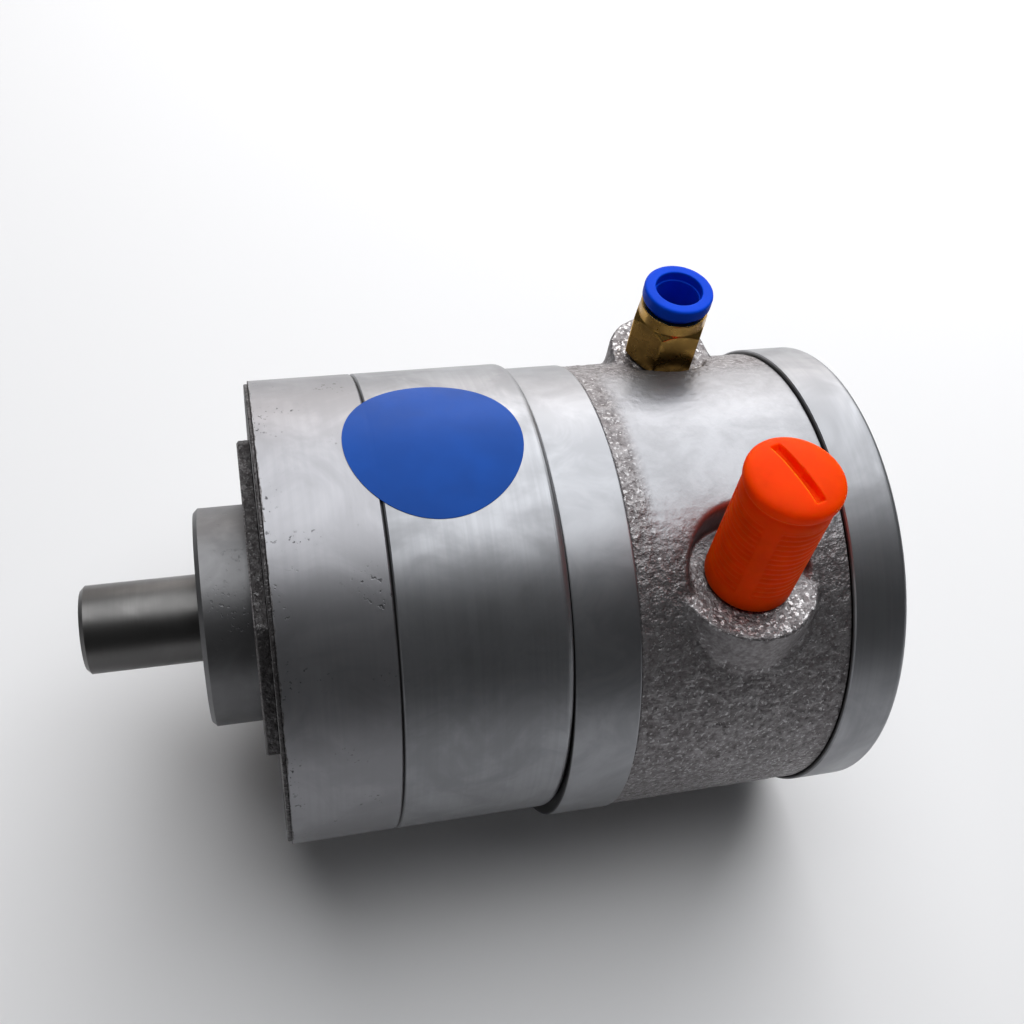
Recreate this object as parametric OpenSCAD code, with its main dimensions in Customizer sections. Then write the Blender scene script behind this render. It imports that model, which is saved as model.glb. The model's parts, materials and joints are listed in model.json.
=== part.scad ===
// Air vane motor with one planetary reduction stage, fixed by its front pad.
// The output shaft points along -X and the two air ports point up along +Z.
// The origin is the centre of the front pad face, on the shaft axis.
// The vane cylinder and its housing sit lower than the shaft axis by the eccentricity.

/* [Output shaft] */
// Diameter of the output shaft
shaft_d = 20; // [18:0.5:22]
// Length of shaft in front of the pilot
shaft_reach = 26; // [15:1:50]
// Chamfer on the shaft tip
shaft_chamfer = 1; // [0.2:0.1:2]
// Rise of the seal and bearing seats over the plain end of the shaft
seat_rise = 0.25; // [0.1:0.05:0.5]
// Diameter of the hub behind the bearings
hub_d = 27; // [25:0.5:29]

/* [Front cover] */
// Diameter of the locating pilot
pilot_d = 50; // [48:0.5:54]
// Length of the pilot in front of the pad
pilot_reach = 11.1; // [10:0.1:14]
// Chamfer on the pilot edge
pilot_chamfer = 1; // [0.4:0.1:2]
// Diameter of the cast pad that carries the mounting face
pad_d = 79; // [76:0.5:82]
// Height of the pad above the front cover
pad_rise = 2.9; // [2:0.1:6]
// Distance of the three flats on the pad from the shaft axis
pad_flat = 31.2; // [30:0.1:36]
// Outer diameter of the front cover and the gear housing
body_d = 106; // [104:0.5:112]
// Length of the front cover
cover_length = 24; // [22:0.1:28]
// Drop of the turned step on the front edge
edge_step = 0.8; // [0.3:0.1:1.2]
// Width of the turned step on the front edge
edge_step_w = 0.8; // [0.8:0.1:3]
// Bolt circle of the mounting holes
mount_circle_d = 64; // [62:0.5:66]
// Diameter of the mounting holes
mount_hole_d = 8; // [6:0.5:9]
// Depth of the mounting holes
mount_hole_depth = 14; // [8:0.5:16]

/* [Output bearings and seal] */
// Outer diameter of the output bearings
output_bearing_d = 42; // [40:0.5:44]
// Width of the output bearings
output_bearing_w = 12; // [11:0.5:12.5]
// Width of the distance ring between the output bearings
spacer_w = 2; // [1.5:0.5:3]
// Outer diameter of the shaft seal
seal_d = 35; // [33:0.5:38]
// Width of the shaft seal
seal_w = 7; // [6:0.5:8]
// Thickness of the bearing clip
clip_w = 1.4; // [1:0.1:1.6]

/* [Planetary gear] */
// Tooth module
gear_module = 1.25; // [1.2:0.01:1.28]
// Teeth on each planet gear
planet_teeth = 21; // [15:3:21]
// Pressure angle of the teeth
pressure_angle = 20; // [20:1:22]
// Play between meshing flanks
tooth_play = 0.14; // [0.1:0.01:0.2]
// Width of the sun and planet teeth
gear_w = 16; // [12:0.5:18]
// Length of the gear housing
gear_housing_length = 35.5; // [34:0.5:44]
// Thickness of the planet carrier disc
carrier_w = 9; // [6:0.5:10]
// Diameter of the planet pins
pin_d = 9; // [8:0.5:11]
// Wall of the planet bushes
bush_wall = 1.5; // [1:0.1:2.5]
// Diameter of the sun gear bore
sun_bore_d = 12; // [10:0.5:13]
// Width of the sun gear key
key_w = 4; // [3:0.5:5]

/* [Motor housing] */
// Drop of the cylinder axis below the shaft axis
eccentricity = 3.4; // [2.5:0.1:4]
// Diameter of the machined band
band_d = 108; // [107:0.5:112]
// Length of the machined band
band_length = 14.5; // [14:0.5:20]
// Diameter of the rough cast middle
cast_d = 107; // [106:0.5:110]
// Length of the rough cast middle
cast_length = 47.5; // [46:0.5:60]
// Outer diameter of the cylinder liner
liner_d = 74; // [72:0.5:76]
// Wall of the cylinder liner
liner_wall = 4; // [3:0.5:5]
// Distance of the ports behind the machined band
port_offset = 24.9; // [20:0.1:26]
// Distance between the two port axes
port_spacing = 66; // [60:0.5:70]
// Shift of both ports toward the inlet side
port_shift = 3.5; // [0:0.1:4]
// Diameter of the inlet boss
inlet_boss_d = 25; // [24:0.5:30]
// Diameter of the exhaust boss
exhaust_boss_d = 31.5; // [28:0.5:32]
// Height of the boss tops above the shaft axis
boss_top = 38.8; // [37:0.1:41]
// Diameter of the seat sunk into the casting round the inlet
inlet_seat_d = 22; // [20:0.2:23]
// Diameter of the seat sunk into the casting round the exhaust
exhaust_seat_d = 26.2; // [23:0.2:27]
// Diameter of the port thread
port_d = 13.2; // [12:0.1:14]
// Depth of the port thread
port_depth = 12; // [10:0.5:13]
// Diameter of the air passage under the thread
passage_d = 7; // [6:0.5:8]
// Height of the lower end of the air passages above the shaft axis
passage_low = 10; // [8:0.5:12]

/* [Rear cap] */
// Diameter of the rear cap
cap_d = 109; // [108:0.5:112]
// Length of the rear cap
cap_length = 13; // [10:0.5:20]
// Number of rear cap screws
cap_screw_count = 6; // [4:1:8]
// Wall between the rear cap screw heads and the outside of the housing
cap_screw_wall = 2.45; // [1.5:0.05:3]

/* [Rotor] */
// Diameter of the rotor journals
journal_d = 15; // [14:0.5:17]
// Outer diameter of the rotor bearings
rotor_bearing_d = 35; // [32:0.5:37]
// Width of the rotor bearings
rotor_bearing_w = 11; // [9:0.5:12]
// Thickness of the end plates
plate_w = 14; // [13:0.5:14]
// Thickness of the vanes
vane_w = 2.9; // [2:0.1:4]
// Height of the vanes
vane_h = 12.6; // [10:0.1:13]

/* [Bolts and screws] */
// Thread diameter of the tie bolts
tie_d = 6; // [5:0.5:6]
// Thread length of the tie bolts in the motor housing
tie_grip = 12; // [9:0.5:13]
// Thread diameter of the rear cap screws
cap_screw_d = 5; // [4:0.5:5]
// Thread length of the cap screws in the motor housing
cap_screw_grip = 9; // [7:0.5:10]

/* [Inlet fitting] */
// Width across the flats of the hexagon
hex_flats = 16; // [16:0.5:19]
// Height of the hexagon base above the boss top
hex_lift = 0.6; // [0.4:0.1:2]
// Height of the hexagon
hex_h = 15.1; // [14:0.1:20]
// Outer diameter of the release collet ring
collet_d = 16.1; // [15.5:0.1:17]
// Thickness of the release collet ring
collet_h = 3.2; // [2:0.1:4]
// Travel of the release collet
collet_travel = 1.2; // [0.8:0.1:1.5]
// Diameter of the tube bore in the collet
tube_bore_d = 10.3; // [9.8:0.1:10.5]

/* [Exhaust muffler] */
// Diameter of the muffler body
muffler_d = 19; // [17:0.5:21]
// Diameter of the muffler head
muffler_head_d = 20; // [18:0.5:22]
// Height of the muffler base above the boss top
muffler_lift = 0.6; // [0.4:0.1:4]
// Height of the muffler above its base
muffler_h = 35; // [32:0.5:42]
// Height of the muffler head
muffler_head_h = 5; // [4:0.5:7]
// Length of the driver slot
slot_length = 15.3; // [10:0.1:17]
// Width of the driver slot
slot_w = 2; // [1.2:0.1:3]
// Depth of the driver slot
slot_depth = 1.4; // [0.8:0.1:2.5]
// Turn of the driver slot
slot_turn = 107; // [0:1:180]
// Pitch of the ribs on the muffler sides
rib_pitch = 1.6; // [1.4:0.1:3]

/* [Sticker] */
// Diameter of the round sticker
sticker_d = 37.4; // [20:0.2:44]
// Distance of the sticker centre behind the front cover face
sticker_offset = 36.6; // [24:0.1:38]
// Turn of the sticker away from the top
sticker_turn = 3.5; // [-20:0.5:20]
// Thickness of the sticker
sticker_thickness = 0.15; // [0.1:0.05:0.3]

/* [Fits] */
// Play between pieces that are fixed together
fit_gap = 0.02; // [0.01:0.01:0.04]
// Play between pieces that turn on each other
run_gap = 0.05; // [0.03:0.01:0.08]
// Play at the end faces of turning pieces
end_gap = 0.3; // [0.2:0.05:0.4]
// Smallest play between the rotor and the liner
rotor_gap = 0.2; // [0.1:0.05:0.3]
// Chamfer along the edges of the joint faces
edge_chamfer = 0.5; // [0.2:0.1:0.7]

/* [Hidden] */
$fn = 96;

// Counts that the key slot and the names of the pieces fix
sun_teeth = 18;
planet_count = 3;
vane_count = 6;

// How far a cut runs past the face that it opens
past = 1;

// Angles about the shaft axis, from +Y towards +Z
upwards = 90;
downwards = 270;

// Radii
shaft_r = shaft_d / 2;
shaft_seat_r = shaft_r + seat_rise;
shaft_seat_d = 2 * shaft_seat_r;
body_r = body_d / 2;
pad_r = pad_d / 2;
band_r = band_d / 2;
cast_r = cast_d / 2;
cap_r = cap_d / 2;
liner_r = liner_d / 2;
chamber_r = liner_r - liner_wall;
rotor_r = chamber_r - eccentricity - rotor_gap;
journal_r = journal_d / 2;
sun_bore_r = sun_bore_d / 2;
pin_r = pin_d / 2;
output_bearing_r = output_bearing_d / 2;
rotor_bearing_r = rotor_bearing_d / 2;

// Stations along the shaft axis
x_pilot = -pilot_reach;
x_tip = x_pilot - shaft_reach;
x_face = pad_rise;
x_gear = x_face + cover_length;
x_motor = x_gear + gear_housing_length;
x_cast = x_motor + band_length;
x_cap = x_cast + cast_length;
x_rear = x_cap + cap_length;

// The seal, the two output bearings and their clip stand in a row behind the pilot face
seal_recess = 0.4;
seal_lip_w = 1.5;
x_seal = x_pilot + seal_recess;
x_bearing_1 = x_seal + seal_w + seal_lip_w;
x_bearing_2 = x_bearing_1 + output_bearing_w + spacer_w;
x_clip = x_bearing_2 + output_bearing_w;

// The carrier, the gears and the pins stand in a row behind the front cover
carrier_lift = 1.5;
pin_head_w = 2;
x_carrier = x_gear + carrier_lift;
x_planet = x_carrier + carrier_w + end_gap;
x_pin_head = x_planet + gear_w + end_gap;

// The end plates close the vane chamber
x_chamber = x_motor + plate_w;
x_chamber_end = x_cap - plate_w;
x_rotor_bearing_1 = x_motor + end_gap;
x_rotor_bearing_2 = x_cap - rotor_bearing_w;
rotor_end_gap = 0.1;
x_body = x_chamber + rotor_end_gap;
x_body_end = x_chamber_end - rotor_end_gap;

// Bolt circle between the pad and the turned step
tie_circle_r = (pad_r + body_r - edge_step) / 2;
tie_angles = [30, 150, 210, 330];
// Each lobe of the pad has a mounting hole, and a flat lies opposite
lobe_angles = [30, 150, 270];
head_ratio = 1.7;
socket_ratio = 0.95;
tie_head_d = head_ratio * tie_d;
cap_head_d = head_ratio * cap_screw_d;
head_sink = 0.5;
bolt_play = 0.3;
thread_play = 0.1;

// Bolt circle of the rear cap screws, inside both the cap and the casting that they enter
cap_circle_r = min(cap_r, cast_r) - cap_screw_wall - cap_head_d / 2 - bolt_play;

// Gear sizes
ring_teeth = sun_teeth + 2 * planet_teeth;
orbit_r = gear_module * (sun_teeth + planet_teeth) / 2;
addendum = gear_module;
dedendum_ratio = 1.25;
dedendum = dedendum_ratio * gear_module;
ring_root_r = gear_module * ring_teeth / 2 + dedendum;
ring_tip_r = gear_module * ring_teeth / 2 - addendum;
carrier_play = 1.75;
carrier_r = ring_tip_r - carrier_play;
bush_r = pin_r + run_gap + bush_wall;
pin_shoulder = 2;
pin_head_r = pin_r + pin_shoulder;

// O-rings in the joint faces
cord_r = 0.9;
groove_play = 0.05;
rubber_black = [0.1, 0.1, 0.1];
gear_groove_r = (ring_root_r + tie_circle_r - tie_d / 2) / 2;
cap_groove_r = (liner_r + cap_circle_r - cap_screw_d / 2) / 2;

// Port places, with the air passages over the wall of the vane chamber
port_x = x_cast + port_offset;
inlet_y = port_shift + port_spacing / 2;
exhaust_y = port_shift - port_spacing / 2;
passage_y = chamber_r;

// Clips
clip_wall = 3;
clip_bite = 0.9;
clip_opening = 50;
sun_clip_w = 1;
sun_clip_wall = 1.8;

vane_angles = [for (i = [0:vane_count - 1]) i * 360 / vane_count];
planet_angles = [for (i = [0:planet_count - 1]) upwards + i * 360 / planet_count];
panel_count = 4;
panel_turn = 245;
muffler_panels = [for (i = [0:panel_count - 1]) panel_turn + i * 360 / panel_count];

// Helpers

// Turns a shape drawn along Z so that it lies along the shaft axis, with local X on Y and local Y on Z.
module on_axis() {
    rotate([90, 0, 90]) children();
}

// The same, on the lower axis of the vane cylinder.
module on_bore() {
    translate([0, 0, -eccentricity]) on_axis() children();
}

// A turned shape from points given as radius and height.
module lathe(points) {
    rotate_extrude() polygon(points);
}

// A ring from one height to another.
module ring(inner_r, outer_r, low, high) {
    lathe([[inner_r, low], [outer_r, low], [outer_r, high], [inner_r, high]]);
}

// A rod from one height to another.
module rod(r, low, high) {
    translate([0, 0, low]) cylinder(r = r, h = high - low);
}

// Children copied to each tie bolt.
module at_tie_bolts() {
    for (angle = tie_angles) on_axis() rotate(angle) translate([tie_circle_r, 0, 0]) children();
}

// Children copied to each rear cap screw.
module at_cap_screws() {
    for (i = [0:cap_screw_count - 1]) {
        on_bore() rotate(i * 360 / cap_screw_count) translate([cap_circle_r, 0, 0]) children();
    }
}

module at_inlet() translate([port_x, inlet_y, 0]) children();
module at_exhaust() translate([port_x, exhaust_y, 0]) children();

module at_ports() {
    at_inlet() children();
    at_exhaust() children();
}

// Cuts from the floors of the ports down into the vane chamber.
module air_passages() {
    high = boss_top - port_depth + past;
    for (side = [-1, 1]) translate([port_x, side * passage_y, 0]) rod(passage_d / 2, passage_low, high);
}

// Points of a round corner that turns from pointing outwards to pointing along the axis.
function round_corner(outer_r, high, r) =
    [for (angle = [0:15:90]) [outer_r - r + r * cos(angle), high - r + r * sin(angle)]];

// Involute teeth, with each flank drawn in a few straight steps
flank_steps = 3;

function involute_turn(base_r, r) = let (a = acos(min(1, base_r / r))) tan(a) * 180 / PI - a;

// Half of the angle that a tooth spans at radius r.
function half_tooth(teeth, play, r) =
    let (pitch_r = gear_module * teeth / 2)
    let (base_r = pitch_r * cos(pressure_angle))
    90 / teeth - play / 4 / pitch_r * 180 / PI
        + involute_turn(base_r, pitch_r) - involute_turn(base_r, r);

// Outline of a gear: each tooth runs up one flank and down the other.
function gear_outline(teeth, above, below, play, turn) =
    let (pitch_r = gear_module * teeth / 2)
    let (root_r = pitch_r - below)
    let (tip_r = pitch_r + above)
    let (foot_r = max(root_r, pitch_r * cos(pressure_angle)))
    let (flank = [for (i = [0:flank_steps]) foot_r + (tip_r - foot_r) * i / flank_steps])
    let (up = [for (r = flank) [r, -half_tooth(teeth, play, r)]])
    let (down = [for (i = [flank_steps:-1:0]) [flank[i], half_tooth(teeth, play, flank[i])]])
    let (root_turn = half_tooth(teeth, play, foot_r))
    let (low_up = foot_r > root_r ? [[root_r, -root_turn]] : [])
    let (low_down = foot_r > root_r ? [[root_r, root_turn]] : [])
    let (tooth = concat(low_up, up, down, low_down))
    [for (i = [0:teeth - 1], p = tooth)
        p[0] * [cos(turn + i * 360 / teeth + p[1]), sin(turn + i * 360 / teeth + p[1])]];

// Turn that brings a planet's gap onto the sun tooth, for a sun with a tooth at angle 0.
function planet_turn(angle) = angle + 180 - (0.5 - angle * sun_teeth / 360) * 360 / planet_teeth;

// Turn that brings the gaps of the toothed ring onto the teeth of the first planet.
ring_turn = planet_angles[0]
    - (planet_angles[0] - planet_turn(planet_angles[0])) * planet_teeth / ring_teeth;

// Ball bearings, whose proportions follow the space between the two ring diameters
ball_ratio = 0.15;
ball_spacing = 3.2;
land_ratio = 0.45;
cage_wall_ratio = 0.3;
cage_rim_ratio = 0.25;
cage_post_ratio = 0.2;
steel_grey = [0.7, 0.7, 0.72];
ball_grey = [0.8, 0.8, 0.82];

function ball_r(inner_d, outer_d) = ball_ratio * (outer_d - inner_d);
function ball_path_r(inner_d, outer_d) = (inner_d + outer_d) / 4;
function ball_count(inner_d, outer_d) =
    floor(2 * PI * ball_path_r(inner_d, outer_d) / (ball_spacing * ball_r(inner_d, outer_d)));

// Groove that the balls run in, with its play.
module ball_groove(inner_d, outer_d, x, width) {
    rotate_extrude()
        translate([ball_path_r(inner_d, outer_d), x + width / 2])
            circle(r = ball_r(inner_d, outer_d) + run_gap);
}

module bearing_outer(inner_d, outer_d, x, width) {
    land_r = ball_path_r(inner_d, outer_d) + land_ratio * ball_r(inner_d, outer_d);
    color(steel_grey) on_axis() difference() {
        ring(land_r, outer_d / 2 - fit_gap, x, x + width);
        ball_groove(inner_d, outer_d, x, width);
    }
}

module bearing_inner(inner_d, outer_d, x, width) {
    land_r = ball_path_r(inner_d, outer_d) - land_ratio * ball_r(inner_d, outer_d);
    color(steel_grey) on_axis() difference() {
        ring(inner_d / 2 + fit_gap, land_r, x, x + width);
        ball_groove(inner_d, outer_d, x, width);
    }
}

// The balls, and a cage of two rims joined by posts that stand between the balls.
module bearing_balls(inner_d, outer_d, x, width) {
    path_r = ball_path_r(inner_d, outer_d);
    r = ball_r(inner_d, outer_d);
    count = ball_count(inner_d, outer_d);
    rim_wall = cage_wall_ratio * r;
    rim_w = cage_rim_ratio * r;
    post_r = cage_post_ratio * r;
    rim_low = r + run_gap;
    color(ball_grey) on_axis() translate([0, 0, x + width / 2]) {
        for (i = [0:count - 1]) rotate(i * 360 / count) translate([path_r, 0, 0]) sphere(r = r);
        union() {
            ring(path_r - rim_wall, path_r + rim_wall, rim_low, rim_low + rim_w);
            ring(path_r - rim_wall, path_r + rim_wall, -rim_low - rim_w, -rim_low);
            for (i = [0:count - 1]) {
                rotate((i + 0.5) * 360 / count) translate([path_r, 0, 0])
                    rod(post_r, -rim_low - rim_w / 2, rim_low + rim_w / 2);
            }
        }
    }
}

module output_bearing_outer(x) bearing_outer(shaft_seat_d, output_bearing_d, x, output_bearing_w);
module output_bearing_inner(x) bearing_inner(shaft_seat_d, output_bearing_d, x, output_bearing_w);
module output_bearing_balls(x) bearing_balls(shaft_seat_d, output_bearing_d, x, output_bearing_w);
module rotor_bearing_outer(x) bearing_outer(journal_d, rotor_bearing_d, x, rotor_bearing_w);
module rotor_bearing_inner(x) bearing_inner(journal_d, rotor_bearing_d, x, rotor_bearing_w);
module rotor_bearing_balls(x) bearing_balls(journal_d, rotor_bearing_d, x, rotor_bearing_w);

// Bolts and O-rings

// Socket head bolt whose head underside lies at height 0 and whose thread runs up.
module socket_bolt(thread_d, head_d, length) {
    difference() {
        union() {
            rod(head_d / 2, -thread_d, 0);
            rod(thread_d / 2 - thread_play, 0, length);
        }
        translate([0, 0, -thread_d]) cylinder(d = socket_ratio * thread_d, h = thread_d / 2, $fn = 6);
    }
}

// Clearance hole with a counterbore for a socket head, head underside at height 0.
module bolt_hole(thread_d, head_d, length) {
    rod(head_d / 2 + bolt_play, -thread_d - 2 * head_sink, 0);
    rod(thread_d / 2 + bolt_play, -head_sink, length);
}

module o_ring(path_r, x) {
    rotate_extrude() translate([path_r, x]) circle(r = cord_r);
}

// Face groove that holds an O-ring, open at height x_open and cut towards x_bottom.
module o_ring_groove(path_r, x_open, x_bottom) {
    ring(path_r - cord_r - groove_play, path_r + cord_r + groove_play,
        min(x_open, x_bottom), max(x_open, x_bottom));
}

groove_depth = 2 * cord_r + groove_play;
x_tie_head = x_face + tie_d + head_sink;
x_cap_head = x_rear - cap_screw_d - head_sink;

// Housing pieces

module front_cover() {
    lip_gap = 3;
    lip_r = shaft_seat_r + lip_gap;
    color([0.72, 0.74, 0.78]) difference() {
        on_axis() lathe(concat(
            [
                [seal_d / 2, x_pilot], [pilot_d / 2 - pilot_chamfer, x_pilot],
                [pilot_d / 2, x_pilot + pilot_chamfer],
                [pilot_d / 2, 0], [pad_r - edge_chamfer, 0], [pad_r, edge_chamfer], [pad_r, x_face],
                [body_r - edge_step - edge_chamfer, x_face],
                [body_r - edge_step, x_face + edge_chamfer],
                [body_r - edge_step, x_face + edge_step_w], [body_r, x_face + edge_step_w],
                [body_r, x_gear - edge_chamfer], [body_r - edge_chamfer, x_gear]
            ],
            [
                [output_bearing_r, x_gear], [output_bearing_r, x_bearing_1],
                [lip_r, x_bearing_1], [lip_r, x_seal + seal_w], [seal_d / 2, x_seal + seal_w]
            ]
        ));
        on_axis() ring(output_bearing_r - past, output_bearing_r + clip_bite, x_clip, x_clip + clip_w);
        on_axis() o_ring_groove(gear_groove_r, x_gear + past, x_gear - groove_depth);
        at_tie_bolts() translate([0, 0, x_tie_head])
            bolt_hole(tie_d, tie_head_d, x_gear - x_tie_head + past);
        for (angle = lobe_angles) {
            on_axis() rotate(angle) translate([mount_circle_d / 2, 0, 0])
                rod(mount_hole_d / 2, -past, mount_hole_depth);
            on_axis() rotate(angle) translate([-pad_flat - pad_r, -pad_r, -past])
                cube([pad_r, pad_d, x_face + past]);
        }
    }
}

module gear_housing() {
    rear_round = 2;
    color([0.74, 0.76, 0.8]) difference() {
        on_axis() lathe(concat(
            [[0, x_gear], [body_r - edge_chamfer, x_gear], [body_r, x_gear + edge_chamfer]],
            round_corner(body_r, x_motor, rear_round),
            [[0, x_motor]]
        ));
        on_axis() translate([0, 0, x_gear - past]) linear_extrude(gear_housing_length + 2 * past)
            polygon(gear_outline(ring_teeth, dedendum, addendum, -tooth_play, ring_turn));
        on_axis() o_ring_groove(gear_groove_r, x_motor + past, x_motor - groove_depth);
        at_tie_bolts() rod(tie_d / 2 + bolt_play, x_gear - past, x_motor + past);
    }
}

module motor_housing() {
    port_mouth = 0.8;
    tap_end = 1;
    color([0.6, 0.61, 0.64]) difference() {
        union() {
            on_bore() lathe([
                [0, x_motor], [band_r - edge_chamfer, x_motor],
                [band_r, x_motor + edge_chamfer], [band_r, x_cast - edge_chamfer],
                [band_r - edge_chamfer, x_cast], [cast_r, x_cast + edge_chamfer],
                [cast_r, x_cap - edge_chamfer], [cast_r - edge_chamfer, x_cap], [0, x_cap]
            ]);
            at_inlet() rod(inlet_boss_d / 2, 0, boss_top);
            at_exhaust() rod(exhaust_boss_d / 2, 0, boss_top);
        }
        on_bore() rod(liner_r, x_motor - past, x_cap + past);
        at_inlet() rod(inlet_seat_d / 2, boss_top, boss_top + cast_r);
        at_exhaust() rod(exhaust_seat_d / 2, boss_top, boss_top + cast_r);
        at_ports() rod(port_d / 2, boss_top - port_depth, boss_top + past);
        at_ports() lathe([
            [0, boss_top - port_mouth], [port_d / 2, boss_top - port_mouth],
            [port_d / 2 + port_mouth, boss_top], [0, boss_top]
        ]);
        air_passages();
        at_tie_bolts() rod(tie_d / 2, x_motor - past, x_motor + tie_grip + tap_end);
        at_cap_screws() rod(cap_screw_d / 2, x_cap - cap_screw_grip - tap_end, x_cap + past);
    }
}

module rear_cap() {
    rear_round = 1.5;
    relief_w = 0.6;
    color([0.68, 0.7, 0.74]) difference() {
        on_bore() lathe(concat(
            [[0, x_cap], [cap_r - edge_chamfer, x_cap], [cap_r, x_cap + edge_chamfer]],
            round_corner(cap_r, x_rear, rear_round),
            [[0, x_rear]]
        ));
        on_axis() rod(ball_path_r(journal_d, rotor_bearing_d), x_cap - past, x_cap + relief_w);
        on_bore() o_ring_groove(cap_groove_r, x_cap - past, x_cap + groove_depth);
        at_cap_screws() translate([0, 0, x_cap_head]) mirror([0, 0, 1])
            bolt_hole(cap_screw_d, cap_head_d, x_cap_head - x_cap + past);
    }
}

module cylinder_liner() {
    color([0.5, 0.5, 0.52]) difference() {
        on_bore() ring(chamber_r, liner_r - fit_gap, x_chamber, x_chamber_end);
        air_passages();
    }
}

// End plate of the vane chamber, with the rotor bearing set into its outer side.
module end_plate(low, high, bearing_low, bearing_high) {
    difference() {
        on_bore() rod(liner_r - fit_gap, low, high);
        on_axis() rod(journal_r + end_gap, low - past, high + past);
        on_axis() rod(rotor_bearing_r, bearing_low, bearing_high);
    }
}

module front_end_plate() {
    x_seat = x_rotor_bearing_1 + rotor_bearing_w;
    color([0.55, 0.56, 0.58]) end_plate(x_motor, x_chamber, x_motor - past, x_seat);
}

module rear_end_plate() {
    color([0.55, 0.56, 0.58]) end_plate(x_chamber_end, x_cap, x_rotor_bearing_2, x_cap + past);
}

module tie_bolts() {
    color([0.3, 0.3, 0.32]) at_tie_bolts() translate([0, 0, x_tie_head])
        socket_bolt(tie_d, tie_head_d, x_motor + tie_grip - x_tie_head);
}

module cap_screws() {
    color([0.3, 0.3, 0.32]) at_cap_screws() translate([0, 0, x_cap_head]) mirror([0, 0, 1])
        socket_bolt(cap_screw_d, cap_head_d, x_cap_head - x_cap + cap_screw_grip);
}

module cover_o_ring() color(rubber_black) on_axis() o_ring(gear_groove_r, x_gear - groove_depth / 2);
module gear_o_ring() color(rubber_black) on_axis() o_ring(gear_groove_r, x_motor - groove_depth / 2);
module cap_o_ring() color(rubber_black) on_bore() o_ring(cap_groove_r, x_cap + groove_depth / 2);

// Lip seal: a channel section whose inner edge runs on the shaft.
module shaft_seal() {
    wall = 1.5;
    lip_r = shaft_seat_r + run_gap;
    outer_r = seal_d / 2 - fit_gap;
    x_end = x_seal + seal_w;
    color([0.12, 0.12, 0.12]) on_axis() lathe([
        [outer_r, x_seal], [outer_r, x_end], [outer_r - wall, x_end], [outer_r - wall, x_seal + wall],
        [lip_r + wall, x_seal + wall], [lip_r + wall, x_end - wall], [lip_r, x_end - 2 * wall],
        [lip_r + wall / 2, x_seal]
    ]);
}

// Distance ring between the outer rings of the output bearings.
module bearing_spacer() {
    spacer_wall = 3;
    color([0.6, 0.6, 0.62]) on_axis()
        ring(output_bearing_r - spacer_wall, output_bearing_r - fit_gap,
            x_bearing_2 - spacer_w, x_bearing_2);
}

// Spring clip in the bore of the front cover, open at the bottom.
module bearing_clip() {
    inner_r = output_bearing_r - clip_wall;
    color([0.25, 0.25, 0.27]) on_axis() difference() {
        ring(inner_r, output_bearing_r + clip_bite - run_gap, x_clip, x_clip + clip_w - run_gap);
        rotate(downwards - clip_opening / 2) translate([0, 0, x_clip - past])
            rotate_extrude(angle = clip_opening)
                square([output_bearing_r + clip_bite + past, clip_w + 2 * past]);
    }
}

// Moving pieces

// The output shaft, its hub and the carrier disc, turned from one bar.
module output_carrier() {
    nose_gap = 3;
    pocket_r = sun_bore_r + nose_gap;
    pocket_depth = 4;
    x_disc_end = x_carrier + carrier_w;
    color([0.55, 0.56, 0.6]) difference() {
        on_axis() lathe([
            [0, x_tip], [shaft_r - shaft_chamfer, x_tip], [shaft_r, x_tip + shaft_chamfer],
            [shaft_r, x_pilot], [shaft_seat_r, x_pilot],
            [shaft_seat_r, x_clip], [hub_d / 2, x_clip], [hub_d / 2, x_carrier],
            [carrier_r - edge_chamfer, x_carrier], [carrier_r, x_carrier + edge_chamfer],
            [carrier_r, x_disc_end - edge_chamfer], [carrier_r - edge_chamfer, x_disc_end],
            [pocket_r, x_disc_end], [pocket_r, x_disc_end - pocket_depth], [0, x_disc_end - pocket_depth]
        ]);
        for (angle = planet_angles) {
            on_axis() rotate(angle) translate([orbit_r, 0, 0])
                rod(pin_r, x_carrier - past, x_disc_end + past);
        }
    }
}

// Headed pins pressed into the carrier disc, one through each planet gear.
module planet_pins() {
    color([0.7, 0.7, 0.72]) for (angle = planet_angles) {
        on_axis() rotate(angle) translate([orbit_r, 0, 0]) {
            rod(pin_r - fit_gap, x_carrier, x_pin_head);
            rod(pin_head_r, x_pin_head, x_pin_head + pin_head_w);
        }
    }
}

module planet_gear(angle) {
    color([0.5, 0.5, 0.53]) on_axis() rotate(angle) translate([orbit_r, 0, x_planet]) difference() {
        linear_extrude(gear_w)
            polygon(gear_outline(planet_teeth, addendum, dedendum, tooth_play, planet_turn(angle) - angle));
        rod(bush_r, -past, gear_w + past);
    }
}

module planet_bush(angle) {
    color([0.75, 0.55, 0.25]) on_axis() rotate(angle) translate([orbit_r, 0, x_planet])
        ring(pin_r + run_gap, bush_r - fit_gap, 0, gear_w);
}

// Key that locks the sun gear to the rotor shaft, half in each.
module key_block(play) {
    key_end = 1.5;
    half_w = key_w / 2 + play;
    on_axis() translate([-half_w, sun_bore_r - key_w / 2 - play, x_planet + key_end])
        cube([2 * half_w, key_w + 2 * play, gear_w - 2 * key_end]);
}

module sun_key() color([0.6, 0.6, 0.62]) key_block(0);

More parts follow.
